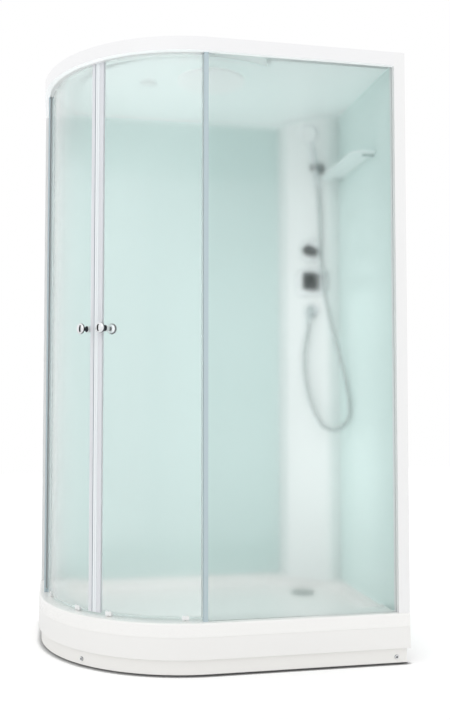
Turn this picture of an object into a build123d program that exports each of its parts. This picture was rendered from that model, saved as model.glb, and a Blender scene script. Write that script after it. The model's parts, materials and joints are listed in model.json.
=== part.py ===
import math
import os

from build123d import *

# Overall sizes of the cabin
cabin_width = 1200
cabin_depth = 800
cabin_height = 2030
curve_radius = 540
front_face_angle = 270
quarter_angle = 90

# Clearances shared by the pieces
overrun = 5
touch_gap = 0.3
glass_fit = 0.2
spindle_fit = 0.05
bolt_fit = 0.2

# Tray, its skirt and the plinth
lip_level = 119
ledge_level = 162
rim_level = 148
floor_level = 108
tray_wall = 5
ledge_width = 96
rim_width = 46
basin_corner = 50
basin_cove = 24
ledge_edge = 6
apron_level = 48
apron_wall = 4
apron_flange = 14
apron_edge = 2.5
apron_clip_reach = 12
apron_clip_angles = [20, 45, 70]
apron_clip_half_angle = 2
seam_gap = 1.2
plinth_inset = 10
plinth_wall = 4
plinth_flange = 18
plinth_clearance = 2
screw_cap_radius = 7
screw_cap_depth = 3
screw_socket_radius = 2.5
screw_shank_radius = 2
screw_shank_length = 14
screw_level = 20
curve_screw_angle = 48.3
front_screw_end = 45
side_screw_end = 70

# Base frame and feet
frame_bar = 25
frame_bar_wall = 2
frame_inset = 62
foot_pad_radius = 22
foot_pad_height = 9
foot_pad_crown = 6
foot_pad_taper = 12
foot_stud_radius = 6
foot_nut_width = 18
foot_nut_height = 9

# Drain
drain_from_side = 196
drain_from_back = 216
drain_hole_radius = 36
drain_seat_radius = 47
drain_seat_depth = 2
drain_cover_radius = 44
drain_cover_height = 7
drain_cover_edge = 2.5
drain_skirt_radius = 30
drain_skirt_depth = 9
trap_radius = 42
trap_bottom = 26
trap_wall = 3
waste_radius = 20
waste_wall = 2.5
waste_collar = 3
waste_spigot = 60
waste_level = 49
waste_reach = 10

# Wall panels and their profiles
panel_thickness = 5
back_gap = 9
side_gap = 27
panel_drop = 30
corner_profile_width = 51
corner_profile_depth = 20
side_profile_width = 38
side_profile_depth = 44
profile_wall = 2.5
profile_inset = 4

# Corner column
column_side_reach = 202
column_back_reach = 181
column_wall = 4
column_flat_start = 62
column_flat_end = 245
column_rise = 50
column_round = 30
column_flange = 18
panel_screw_radius = 5
panel_screw_head = 3
panel_screw_taper = 20
panel_screw_count = 5
panel_screw_margin = 90

# Roof
roof_wall = 4
roof_drop = 20
roof_border = 128
roof_pad_drop = 30
roof_pad_inset = 78
roof_rear_gap = 9
roof_pad_radius = 470
roof_pad_past_side = 20
roof_pad_from_front = 10

# Top rail, roller track and posts
rail_inset = 4
rail_wall = 3
rail_height = 45
rail_lip = 18
rail_web = 70
rail_web_thickness = 4
rail_channel_wall = 2
rail_channel_depth = 24
track_web_radius = 500
track_web_width = 34
glass_thickness = 5
fixed_glass_inset = 24
door_glass_inset = 37
fixed_glass_drop = 18
door_glass_over_track = 10
door_glass_over_ledge = 8
post_width = 15
post_front = 18
post_back = 34
post_slot = 9
post_right_shift = 18
post_left_shift = -2
seal_fin_thickness = 1
track_drop = 44
track_ridge = 2
track_ridge_height = 3
track_floor = 3
track_start_angle = -25
track_end_angle = 112
track_wall = 3

# Doors, closed, as angles on the curve from the front face towards the left
door_seam_angle = 45
door_gap_angle = 0.05
right_door_edge_angle = 1.4
left_door_edge_angle = 90.6
door_seal_width = 26
door_seal_depth = 11
door_seal_slot = 12
roller_radius = 11
roller_width = 7
roller_groove = 1.5
roller_axle_radius = 4
roller_gap = 9
hanger_width = 28
hanger_thickness = 4
hanger_under_track = 2
hanger_over_track = 20
hanger_stud_radius = 3
hanger_cap_radius = 5
hanger_cap_thickness = 2.5
right_hanger_angles = [8.8, 38.5]
left_hanger_angles = [52, 81.2]
guide_wheel_radius = 6
guide_outer = 2.2
guide_inner = 6
guide_clearance = 0.6
guide_cut_angle = 2
right_guide_angles = [8.8, 38.4]
left_guide_angles = [54.3, 81.2]

# Door knobs
knob_over_middle = 11
right_knob_angle = 40.6
left_knob_angle = 49.8
knob_bolt_radius = 3
knob_profile = [(11, 0), (11, 3), (6, 8), (5.5, 14), (9.5, 22), (17.5, 29), (18, 32), (16, 35.5)]
knob_top = 37
washer_thickness = 1
washer_seat = 0.1

# Mixer and diverter, all in line on the column
fittings_across = 38
mixer_drop = 700
mixer_plate_width = 142
mixer_plate_height = 110
mixer_plate_corner = 30
mixer_plate_thickness = 6
mixer_plate_shift = 4
mixer_hub_radius = 14
mixer_hub_height = 10
mixer_knob_width = 46
mixer_knob_height = 70
mixer_knob_rise = 5
mixer_knob_thickness = 20
mixer_knob_corner = 8
mixer_knob_edge = 2.5
mixer_knob_gap = 3
mixer_knob_socket_radius = 9
mixer_knob_socket_depth = 13
mixer_pivot_height = 7
mixer_pivot_radius = 2
mixer_pivot_length = 24
mixer_pivot_gap = 1
mixer_spindle_radius = 6
mixer_spindle_depth = 12
mixer_body_radius = 24
mixer_body_depth = 44
inlet_spacing = 76
inlet_radius = 10.48
inlet_length = 18
inlet_arm_radius = 13
diverter_over_mixer = 128
diverter_rose_radius = 46
diverter_rose_height = 8
diverter_knob_radius = 22
diverter_knob_height = 34
diverter_knob_edge = 2
diverter_grip_radius = 2
diverter_grip_count = 12
diverter_body_radius = 17
diverter_body_depth = 38
supply_pipe_radius = 6
supply_pipe_depth = 26
riser_hole_radius = 20.4
riser_drop = 9
riser_bend = 24

# Hose outlet, hand shower and holder
outlet_under_mixer = 116
outlet_rose_radius = 30
outlet_rose_height = 7
outlet_arm_radius = 12
outlet_arm_length = 30
outlet_nipple_radius = 9.5
outlet_nipple_drop = 28
holder_across = 76
holder_drop = 243
holder_rose_radius = 22
holder_rose_height = 7
holder_rose_taper = 8
holder_arm_radius = 6.5
holder_pivot_reach = 16
holder_barrel_radius = 7
holder_barrel_length = 14
holder_pin_radius = 3
holder_lug_thickness = 5
holder_lug_gap = 0.3
holder_reach = 46
holder_ring_radius = 20
holder_ring_height = 26
holder_slot = 21
shower_lean = 20
shower_seat_fit = 0.3
seat_low_radius = 10.5
seat_top_radius = 13
handle_nut_radius = 9.5
handle_nut_top = -19
handle_low = -34
handle_waist = [(12, 34), (10, 60), (9.5, 88), (11, 112)]
head_radius = 38
head_rim = 9
head_back = 9
head_back_taper = 38
head_reach = 126
head_forward = 16
head_tilt = 24
spray_face_radius = 33
spray_face_thickness = 2
nub_radius = 1.4
nub_drop = 1
hose_radius = 7
hose_lead = 45
# Points as distance across the column, distance out from it and height over the outlet
hose_route = [
    (82, 19, 408),
    (89, 24, 251),
    (104, 31, 86),
    (141, 42, -64),
    (177, 51, -164),
    (203, 58, -256),
    (222, 63, -346),
    (229, 70, -428),
    (181, 62, -474),
    (110, 47, -468),
    (63, 36, -402),
    (28, 30, -309),
    (14, 26, -210),
    (22, 28, -130),
]
hose_tail = 46

# Rain shower and lamp in the roof
rain_x = -22
rain_y = -165
rain_drop = 60
rain_radius = 117
rain_thickness = 8
rain_edge = 3
rain_hub_radius = 18
rain_hub_height = 16
rain_ball_radius = 11
rain_ball_height = 10
rain_neck_radius = 6
rain_stem_radius = 9
rain_flange_radius = 26
rain_flange_height = 4
rain_flange_taper = 15
nozzle_radius = 2
nozzle_drop = 1.5
nozzle_ring_count = 4
nozzle_ring_angle = 6
lamp_x = -227
lamp_y = -16
lamp_radius = 30
lamp_lens_radius = 22
lamp_depth = 5
lamp_lens_depth = 2

# Shelf on the side wall
shelf_drop = 292
shelf_length = 406
shelf_column_gap = 21
shelf_depth = 88
shelf_thickness = 6
shelf_corner = 46
shelf_wall_gap = 3
shelf_bracket_inset = 34
shelf_bracket_radius = 9
shelf_bracket_reach = 42

# Places worked out from the sizes above
half_width = cabin_width / 2
half_depth = cabin_depth / 2
curve_x = curve_radius - half_width
curve_y = curve_radius - half_depth
back_face = half_depth - back_gap - panel_thickness
side_face = half_width - side_gap - panel_thickness
side_profile_face = half_width - side_profile_width
door_radius = curve_radius - door_glass_inset
curve_start_angle = front_face_angle - quarter_angle
drain_x = half_width - drain_from_side
drain_y = half_depth - drain_from_back
column_left = side_face - column_side_reach
column_front = back_face - column_back_reach
roof_pad_x = half_width + roof_pad_past_side
roof_pad_y = roof_pad_from_front - half_depth
shelf_far = column_front - shelf_column_gap
shelf_near = shelf_far - shelf_length

# Levels: the upper pieces hang from the top, so they follow the height of the cabin
panel_top = cabin_height - panel_drop
roof_level = cabin_height - roof_drop
roof_pad_level = cabin_height - roof_pad_drop
rail_low = cabin_height - rail_height
fixed_glass_top = cabin_height - fixed_glass_drop
track_level = cabin_height - track_drop
door_glass_top = track_level + door_glass_over_track
door_glass_low = ledge_level + door_glass_over_ledge
hanger_low = track_level - hanger_under_track
hanger_top = track_level + hanger_over_track
knob_level = (door_glass_low + door_glass_top) / 2 + knob_over_middle
mixer_level = cabin_height - mixer_drop
diverter_level = mixer_level + diverter_over_mixer
outlet_level = mixer_level - outlet_under_mixer
riser_level = cabin_height - riser_drop
holder_level = cabin_height - holder_drop
rain_level = cabin_height - rain_drop
shelf_level = cabin_height - shelf_drop


def compass(angle):
    # Direction on the curve, zero at the front face and a quarter turn at the left side
    return Vector(-math.sin(math.radians(angle)), -math.cos(math.radians(angle)), 0)


def curve_point(angle, radius, level):
    return Vector(curve_x, curve_y, level) + compass(angle) * radius


def curve_plane(angle, radius, level):
    # A plane square to the curve, looking outwards, with its Y axis upright
    along = Vector(compass(angle).Y, -compass(angle).X, 0) * -1
    return Plane(curve_point(angle, radius, level), x_dir=along, z_dir=compass(angle))


def footprint(front, wall):
    # A rectangle with one large rounded corner, inset from the open sides and the wall sides
    near = front - half_depth
    right = half_width - wall
    with BuildSketch() as shape:
        with BuildLine():
            corner = CenterArc((curve_x, curve_y), curve_radius - front, curve_start_angle, quarter_angle)
            far = half_depth - wall
            Polyline(corner @ 1, (right, near), (right, far), (front - half_width, far), corner @ 0)
        make_face()
    return shape.sketch


def band(outer, inner, right_end, back_end):
    # A strip along the open sides between two insets
    with BuildSketch() as strip:
        with BuildLine():
            out = CenterArc((curve_x, curve_y), curve_radius - outer, curve_start_angle, quarter_angle)
            back = CenterArc((curve_x, curve_y), curve_radius - inner, curve_start_angle, quarter_angle)
            Polyline(out @ 1, (right_end, outer - half_depth), (right_end, inner - half_depth), back @ 1)
            Polyline(out @ 0, (outer - half_width, back_end), (inner - half_width, back_end), back @ 0)
        make_face()
    return strip.sketch


def sector(outer_radius, inner_radius, start, end):
    # A strip of a ring about the centre of the curve
    with BuildSketch() as strip:
        with BuildLine():
            out = CenterArc((curve_x, curve_y), outer_radius, front_face_angle - end, end - start)
            back = CenterArc((curve_x, curve_y), inner_radius, front_face_angle - end, end - start)
            Line(out @ 0, back @ 0)
            Line(out @ 1, back @ 1)
        make_face()
    return strip.sketch


def arc_angle(length, radius):
    return math.degrees(length / radius)


def write(piece, label):
    piece.part.label = label
    export_step(piece.part, "parts/" + label + ".step")


os.makedirs("parts", exist_ok=True)

# The column stands across the back right corner
column_start = Vector(column_left, back_face, 0)
column_chord = Vector(side_face, column_front, 0) - column_start
column_length = column_chord.length
column_along = column_chord.normalized()
column_out = Vector(column_along.Y, -column_along.X, 0)


def column_point(along, out):
    return column_start + column_along * along + column_out * out


def column_plane(across, level, out=0):
    # A plane on the flat front of the column, looking into the cabin
    place = column_point(column_length / 2 + across, column_rise + out) + Vector(0, 0, level)
    return Plane(place, x_dir=column_along, z_dir=column_out)


def column_line(low, height):
    # The column's bent wall as a solid between two levels
    with BuildPart() as wall:
        with BuildSketch(Plane.XY.offset(low)):
            with BuildLine():
                FilletPolyline(
                    column_point(0, 0) + Vector(column_wall / 2 + touch_gap, column_wall / 2, 0),
                    column_point(column_flat_start, column_rise - column_wall / 2),
                    column_point(column_flat_end, column_rise - column_wall / 2),
                    column_point(column_length, 0) + Vector(column_wall / 2, column_wall / 2 + touch_gap, 0),
                    radius=column_round,
                )
            trace(line_width=column_wall)
            # Clear of the two panels it meets
            with Locations((column_left + touch_gap, back_face)):
                Rectangle(
                    column_wall * 4, column_wall * 4, align=(Align.MAX, Align.CENTER), mode=Mode.SUBTRACT
                )
            with Locations((side_face, column_front + touch_gap)):
                Rectangle(
                    column_wall * 4, column_wall * 4, align=(Align.CENTER, Align.MAX), mode=Mode.SUBTRACT
                )
        extrude(amount=height)
    return wall.part


# Tray: one shell with a lip, a ledge for the glass, a lower rim under the walls and a basin
basin_right = half_width - rim_width
basin_back = half_depth - rim_width
basin_cut_out = column_rise + column_wall * 4
cut_start = column_point(0, basin_cut_out)
cut_back_x = cut_start.X + (basin_back - cut_start.Y) * column_along.X / column_along.Y
cut_side_y = cut_start.Y + (basin_right - cut_start.X) * column_along.Y / column_along.X


def basin_outline(grow):
    near = ledge_width - grow - half_depth
    left = ledge_width - grow - half_width
    with BuildSketch() as shape:
        with BuildLine():
            radius = curve_radius - ledge_width + grow
            corner = CenterArc((curve_x, curve_y), radius, curve_start_angle, quarter_angle)
            Polyline(
                corner @ 1,
                (basin_right + grow, near),
                (basin_right + grow, cut_side_y),
                (cut_back_x, basin_back + grow),
                (left, basin_back + grow),
                corner @ 0,
            )
        make_face()
        sharp = shape.vertices().filter_by(
            lambda v: v.X > curve_x + basin_corner or v.Y > curve_y + basin_corner
        )
        fillet(sharp, radius=basin_corner)
    return shape.sketch


with BuildPart() as basin_space:
    with BuildSketch(Plane.XY.offset(floor_level)):
        add(basin_outline(0))
    extrude(amount=ledge_level - floor_level + overrun)
    fillet(basin_space.edges().group_by(Axis.Z)[0], radius=basin_cove)

with BuildPart() as basin_tub:
    with BuildSketch(Plane.XY.offset(floor_level - tray_wall)):
        add(basin_outline(tray_wall))
    extrude(amount=rim_level - floor_level)
    fillet(basin_tub.edges().group_by(Axis.Z)[0], radius=basin_cove + tray_wall)

with BuildPart() as tray:
    with BuildSketch(Plane.XY.offset(lip_level)):
        add(footprint(0, 0))
    extrude(amount=ledge_level - lip_level)
    open_edges = tray.edges().group_by(Axis.Z)[-1].filter_by(
        lambda e: e.center().Y < half_depth - overrun and e.center().X < half_width - overrun
    )
    fillet(open_edges, radius=ledge_edge)
    # Lower rim under the wall panels
    with BuildSketch(Plane.XY.offset(rim_level)):
        with Locations((0, half_depth)):
            Rectangle(cabin_width, 2 * rim_width)
        with Locations((half_width, side_profile_depth)):
            Rectangle(2 * rim_width, cabin_depth)
        with BuildLine():
            Polyline(
                (cut_back_x - basin_corner, basin_back),
                (basin_right, cut_side_y - basin_corner),
                (basin_right, basin_back),
                close=True,
            )
        make_face()
    extrude(amount=ledge_level, mode=Mode.SUBTRACT)
    # Hollow underside, deeper below the ledge
    with BuildSketch(Plane.XY.offset(lip_level)):
        add(footprint(tray_wall, tray_wall))
    extrude(amount=rim_level - tray_wall - lip_level, mode=Mode.SUBTRACT)
    with BuildSketch(Plane.XY.offset(rim_level - tray_wall)):
        add(band(tray_wall, ledge_width - tray_wall, basin_right, basin_back))
    extrude(amount=ledge_level - rim_level, mode=Mode.SUBTRACT)
    add(basin_tub.part)
    add(basin_space.part, mode=Mode.SUBTRACT)
    with Locations((drain_x, drain_y, floor_level)):
        Cylinder(drain_seat_radius, drain_seat_depth * 2, mode=Mode.SUBTRACT)
        Cylinder(drain_hole_radius, tray_wall * 3, mode=Mode.SUBTRACT)
write(tray, "tray")

# Apron: the clip-on front of the tray, with a turned-in foot
with BuildPart() as apron:
    with BuildSketch(Plane.XY.offset(apron_level)):
        add(band(0, apron_wall, half_width, half_depth))
    extrude(amount=lip_level - seam_gap - apron_level)
    with BuildSketch(Plane.XY.offset(apron_level)):
        add(band(0, apron_flange, half_width, half_depth))
    extrude(amount=apron_wall)
    low_arcs = apron.edges().group_by(Axis.Z)[0].filter_by(GeomType.CIRCLE)
    fillet(low_arcs.sort_by(SortBy.LENGTH)[-1:], apron_edge)
    # Clips that hold it inside the tray's lip
    clip_face = curve_radius - tray_wall - touch_gap
    with BuildSketch(Plane.XY.offset(lip_level - seam_gap - apron_clip_reach)):
        for angle in apron_clip_angles:
            start = angle - apron_clip_half_angle
            end = angle + apron_clip_half_angle
            add(sector(curve_radius - apron_wall / 2, clip_face - apron_wall, start, end))
    extrude(amount=apron_clip_reach - apron_wall / 2)
    with BuildSketch(Plane.XY.offset(lip_level - seam_gap - apron_clip_reach)):
        for angle in apron_clip_angles:
            start = angle - apron_clip_half_angle
            end = angle + apron_clip_half_angle
            add(sector(clip_face, clip_face - apron_wall, start, end))
    extrude(amount=2 * apron_clip_reach)
write(apron, "apron")

# Plinth: a recessed strip that closes the gap to the floor
with BuildPart() as plinth:
    plinth_back = plinth_inset + plinth_wall
    with BuildSketch(Plane.XY.offset(plinth_clearance)):
        add(band(plinth_inset, plinth_back, half_width - plinth_inset, half_depth))
    extrude(amount=apron_level - plinth_clearance)
    with BuildSketch(Plane.XY.offset(apron_level - plinth_wall)):
        add(band(plinth_inset, plinth_inset + plinth_flange, half_width - plinth_inset, half_depth))
    extrude(amount=plinth_wall)
    screw_planes = [
        curve_plane(curve_screw_angle, curve_radius - plinth_inset, screw_level),
        Plane(
            (half_width - front_screw_end, plinth_inset - half_depth, screw_level),
            x_dir=(1, 0, 0),
            z_dir=(0, -1, 0),
        ),
        Plane(
            (plinth_inset - half_width, half_depth - side_screw_end, screw_level),
            x_dir=(0, -1, 0),
            z_dir=(-1, 0, 0),
        ),
    ]
    for place in screw_planes:
        with BuildSketch(place):
            Circle(screw_shank_radius + bolt_fit)
        extrude(amount=-2 * plinth_wall, mode=Mode.SUBTRACT)
write(plinth, "plinth")

with BuildPart() as plinth_screws:
    for place in screw_planes:
        with BuildSketch(place):
            Circle(screw_cap_radius)
        extrude(amount=screw_cap_depth)
        with BuildSketch(place):
            Circle(screw_shank_radius)
        extrude(amount=-screw_shank_length)
        with BuildSketch(place.offset(screw_cap_depth)):
            Circle(screw_socket_radius)
        extrude(amount=-screw_cap_depth / 2, mode=Mode.SUBTRACT)
write(plinth_screws, "plinth_screws")

# Base frame: welded square tube under the tray
frame_right = half_width - frame_inset
frame_back = half_depth - frame_inset
frame_top = floor_level - tray_wall
frame_low = frame_top - frame_bar
frame_turn = curve_point(door_seam_angle, curve_radius - frame_inset, 0)
frame_corner = (frame_turn.X, frame_turn.Y)
frame_path = [
    ((-frame_right, frame_back), (frame_right, frame_back)),
    ((frame_right, frame_back), (frame_right, -frame_back)),
    ((frame_right, -frame_back), (curve_x, -frame_back)),
    ((curve_x, -frame_back), frame_corner),
    (frame_corner, (-frame_right, curve_y)),
    ((-frame_right, curve_y), (-frame_right, frame_back)),
    ((curve_x, -frame_back), (curve_x, frame_back)),
]
feet = [
    (-frame_right, frame_back),
    (frame_right, frame_back),
    (frame_right, -frame_back),
    (curve_x, -frame_back),
    frame_corner,
    (curve_x, 0),
]


def frame_bars(width, low, height):
    with BuildPart() as bars:
        with BuildSketch(Plane.XY.offset(low)):
            for start, end in frame_path:
                with BuildLine():
                    Line(start, end)
                trace(line_width=width)
            with Locations(*feet):
                Circle(width / 2)
        extrude(amount=height)
    return bars.part


frame_outside = frame_bars(frame_bar, frame_low, frame_bar)
inner_bar = frame_bar - 2 * frame_bar_wall
frame_inside = frame_bars(inner_bar, frame_low + frame_bar_wall, inner_bar)
with BuildPart() as base_frame:
    add(frame_outside)
    add(frame_inside, mode=Mode.SUBTRACT)
    with BuildSketch(Plane.XY.offset(frame_low)):
        with Locations(*feet):
            Circle(foot_stud_radius + spindle_fit)
    extrude(amount=frame_bar_wall, mode=Mode.SUBTRACT)
write(base_frame, "base_frame")

with BuildPart() as foot_pads:
    with BuildSketch():
        with Locations(*feet):
            Circle(foot_pad_radius)
    extrude(amount=foot_pad_crown, taper=foot_pad_taper)
    with BuildSketch(Plane.XY.offset(foot_pad_crown)):
        with Locations(*feet):
            Circle(foot_stud_radius + foot_pad_crown)
    extrude(amount=foot_pad_height - foot_pad_crown)
write(foot_pads, "foot_pads")

with BuildPart() as foot_studs:
    with BuildSketch(Plane.XY.offset(foot_pad_height)):
        with Locations(*feet):
            Circle(foot_stud_radius)
    extrude(amount=frame_top - frame_bar_wall - foot_pad_height - touch_gap)
write(foot_studs, "foot_studs")

with BuildPart() as foot_nuts:
    with BuildSketch(Plane.XY.offset(frame_low - foot_nut_height)):
        with Locations(*feet):
            RegularPolygon(foot_nut_width / 2, 6, major_radius=False)
            Circle(foot_stud_radius + spindle_fit, mode=Mode.SUBTRACT)
    extrude(amount=foot_nut_height)
write(foot_nuts, "foot_nuts")

# Drain: a lift-off cover over a cup trap with its outlet at the back
drain_place = Plane((drain_x, drain_y, floor_level))
seat_top = -drain_seat_depth
with BuildPart() as drain_trap:
    with BuildSketch(Plane((drain_x, drain_y, 0), x_dir=(1, 0, 0), z_dir=(0, -1, 0))):
        with BuildLine():
            trap_neck = drain_hole_radius - touch_gap
            trap_top = floor_level - drain_seat_depth
            Polyline(
                (trap_neck - trap_wall, trap_top),
                (trap_neck, trap_top),
                (trap_neck, frame_low),
                (trap_radius, frame_low),
                (trap_radius, trap_bottom),
                (0, trap_bottom),
                (0, trap_bottom + trap_wall),
                (trap_radius - trap_wall, trap_bottom + trap_wall),
                (trap_radius - trap_wall, frame_low - trap_wall),
                (trap_neck - trap_wall, frame_low - trap_wall),
                close=True,
            )
        make_face()
    revolve(axis=Axis((drain_x, drain_y, 0), (0, 0, 1)))
    # Outlet: a collar on the trap and a spigot that takes the waste pipe
    waste_place = Plane((drain_x, half_depth - waste_reach, waste_level), x_dir=(1, 0, 0), z_dir=(0, -1, 0))
    waste_run = half_depth - waste_reach - drain_y - trap_radius + 3 * trap_wall
    with BuildSketch(waste_place):
        Circle(waste_radius)
    extrude(amount=waste_run)
    with BuildSketch(waste_place.offset(waste_spigot)):
        Circle(waste_radius + waste_collar)
    extrude(amount=waste_run - waste_spigot)
    with BuildSketch(waste_place):
        Circle(waste_radius - waste_wall)
    extrude(amount=waste_run + trap_wall, mode=Mode.SUBTRACT)
    with BuildSketch(Plane((drain_x, drain_y, trap_bottom + trap_wall))):
        Circle(trap_radius - trap_wall)
    extrude(amount=frame_low - trap_bottom - 2 * trap_wall, mode=Mode.SUBTRACT)
write(drain_trap, "drain_trap")

with BuildPart() as drain_cover:
    with BuildSketch(drain_place.offset(seat_top)):
        Circle(drain_cover_radius)
    extrude(amount=drain_cover_height)
    fillet(drain_cover.edges().group_by(Axis.Z)[-1], drain_cover_edge)
    with BuildSketch(drain_place.offset(seat_top)):
        Circle(drain_skirt_radius)
        Circle(drain_skirt_radius - trap_wall, mode=Mode.SUBTRACT)
    extrude(amount=-drain_skirt_depth)
write(drain_cover, "drain_cover")

# Flat wall panels
panel_left = corner_profile_width - half_width
panel_near = side_profile_depth - half_depth
with BuildPart() as back_panel:
    with BuildSketch(Plane.XY.offset(rim_level)):
        with Locations((panel_left, back_face)):
            Rectangle(column_left - panel_left, panel_thickness, align=(Align.MIN, Align.MIN))
    extrude(amount=panel_top - rim_level)
write(back_panel, "back_panel")

with BuildPart() as side_panel:
    with BuildSketch(Plane.XY.offset(rim_level)):
        with Locations((side_face, panel_near)):
            Rectangle(panel_thickness, column_front - panel_near, align=(Align.MIN, Align.MIN))
    extrude(amount=panel_top - rim_level)
write(side_panel, "side_panel")

# Corner column: a bent shell whose flanges lie behind the two panels
with BuildPart() as column:
    add(column_line(rim_level, panel_top - rim_level))
    with BuildSketch(Plane.XY.offset(rim_level)):
        with Locations((column_left - column_flange, back_face + panel_thickness)):
            Rectangle(column_flange + 2 * column_wall, column_wall, align=(Align.MIN, Align.MIN))
        with Locations((column_left + touch_gap, back_face)):
            Rectangle(column_wall, panel_thickness + column_wall, align=(Align.MIN, Align.MIN))
        with Locations((side_face + panel_thickness, column_front - column_flange)):
            Rectangle(column_wall, column_flange + 2 * column_wall, align=(Align.MIN, Align.MIN))
        with Locations((side_face, column_front + touch_gap)):
            Rectangle(panel_thickness + column_wall, column_wall, align=(Align.MIN, Align.MIN))
    extrude(amount=panel_top - rim_level)
    for level, radius in (
        (mixer_level, mixer_hub_radius),
        (diverter_level, diverter_body_radius),
        (outlet_level, outlet_arm_radius),
    ):
        with BuildSketch(column_plane(fittings_across, level, column_wall)):
            Circle(radius + touch_gap)
        extrude(amount=-3 * column_wall, mode=Mode.SUBTRACT)
write(column, "column")

with BuildPart() as panel_screws:
    pitch = (panel_top - rim_level - 2 * panel_screw_margin) / (panel_screw_count - 1)
    back_place = Plane(
        (
            column_left - column_flange / 2,
            back_face + panel_thickness + column_wall,
            rim_level + panel_screw_margin,
        ),
        x_dir=(-1, 0, 0),
        z_dir=(0, 1, 0),
    )
    side_place = Plane(
        (
            side_face + panel_thickness + column_wall,
            column_front - column_flange / 2,
            rim_level + panel_screw_margin,
        ),
        x_dir=(0, 1, 0),
        z_dir=(1, 0, 0),
    )
    for place in (back_place, side_place):
        for step in range(panel_screw_count):
            with BuildSketch(place):
                with Locations((0, step * pitch)):
                    Circle(panel_screw_radius)
            extrude(amount=panel_screw_head, taper=panel_screw_taper)
write(panel_screws, "panel_screws")

# Upright profile in the back left corner: holds the side glass and the back panel
with BuildPart() as corner_profile:
    with BuildSketch(Plane.XY.offset(rim_level)):
        with Locations((profile_inset - half_width, half_depth - profile_inset)):
            Rectangle(
                corner_profile_width - profile_inset, corner_profile_depth, align=(Align.MIN, Align.MAX)
            )
        with Locations((panel_left, back_face - glass_fit)):
            panel_slot = panel_thickness + 2 * glass_fit
            Rectangle(2 * profile_wall, panel_slot, align=(Align.CENTER, Align.MIN), mode=Mode.SUBTRACT)
        with Locations(
            (fixed_glass_inset - glass_fit - half_width, half_depth - profile_inset - profile_wall)
        ):
            Rectangle(
                glass_thickness + 2 * glass_fit,
                corner_profile_depth,
                align=(Align.MIN, Align.MAX),
                mode=Mode.SUBTRACT,
            )
        with Locations(
            (profile_inset + profile_wall - half_width, half_depth - profile_inset - profile_wall)
        ):
            Rectangle(
                fixed_glass_inset - profile_inset - 2 * profile_wall,
                corner_profile_depth - 2 * profile_wall,
                align=(Align.MIN, Align.MAX),
                mode=Mode.SUBTRACT,
            )
    extrude(amount=rail_low - rim_level)
write(corner_profile, "corner_profile")

# Upright profile at the front right: holds the front glass and the side panel
side_profile_back = panel_near
with BuildPart() as side_profile:
    with BuildSketch(Plane.XY.offset(ledge_level)):
        with Locations((half_width, side_profile_back)):
            Rectangle(side_profile_width, side_profile_depth - profile_inset, align=(Align.MAX, Align.MAX))
        glass_place = fixed_glass_inset - glass_fit - half_depth
        with Locations((side_profile_face, glass_place)):
            slot = glass_thickness + 2 * glass_fit
            Rectangle(4 * profile_wall, slot, align=(Align.CENTER, Align.MIN), mode=Mode.SUBTRACT)
        with Locations((half_width - profile_wall, side_profile_back - profile_wall)):
            Rectangle(
                side_profile_width - 5 * profile_wall,
                side_profile_depth - profile_inset - 2 * profile_wall,
                align=(Align.MAX, Align.MAX),
                mode=Mode.SUBTRACT,
            )
    extrude(amount=cabin_height - ledge_level)
write(side_profile, "side_profile")

# Fixed panes
front_pane_left = curve_x - post_right_shift
side_pane_near = curve_y - post_left_shift
with BuildPart() as front_glass:
    with BuildSketch(Plane.XY.offset(ledge_level)):
        with Locations((front_pane_left, fixed_glass_inset - half_depth)):
            pane = side_profile_face - front_pane_left + profile_wall
            Rectangle(pane, glass_thickness, align=(Align.MIN, Align.MIN))
    extrude(amount=fixed_glass_top - ledge_level)
write(front_glass, "front_glass")

with BuildPart() as side_glass:
    with BuildSketch(Plane.XY.offset(ledge_level)):
        with Locations((fixed_glass_inset - half_width, side_pane_near)):
            Rectangle(glass_thickness, basin_back - side_pane_near, align=(Align.MIN, Align.MIN))
    extrude(amount=fixed_glass_top - ledge_level)
    with BuildSketch(Plane.XY.offset(rim_level)):
        with Locations((fixed_glass_inset - half_width, basin_back)):
            pane = half_depth - profile_inset - profile_wall - basin_back
            Rectangle(glass_thickness, pane, align=(Align.MIN, Align.MIN))
    extrude(amount=panel_top - rim_level)
write(side_glass, "side_glass")

# Posts on the free edges of the fixed panes, and the soft fins in them.
# The planes' X axis points from the door to the pane, their Y axis into the cabin.
post_offset = post_slot - post_width / 2
right_post_plane = Plane(
    (front_pane_left + post_offset, -half_depth, ledge_level), x_dir=(1, 0, 0), z_dir=(0, 0, 1)
)
left_post_plane = Plane(
    (-half_width, side_pane_near + post_offset, ledge_level), x_dir=(0, 1, 0), z_dir=(0, 0, -1)
)


def post(place):
    with BuildPart() as piece:
        with BuildSketch(place):
            with Locations((0, post_front)):
                Rectangle(post_width, post_back - post_front, align=(Align.CENTER, Align.MIN))
            with Locations((post_width / 2, fixed_glass_inset - glass_fit)):
                slot = glass_thickness + 2 * glass_fit
                Rectangle(2 * post_slot, slot, align=(Align.CENTER, Align.MIN), mode=Mode.SUBTRACT)
            with Locations((-post_width / 2, fixed_glass_inset)):
                Rectangle(post_slot, glass_thickness, align=(Align.CENTER, Align.MIN), mode=Mode.SUBTRACT)
        extrude(amount=rail_low - ledge_level, dir=(0, 0, 1))
    return piece


post_right = post(right_post_plane)
write(post_right, "post_right")
post_left = post(left_post_plane)
write(post_left, "post_left")

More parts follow.
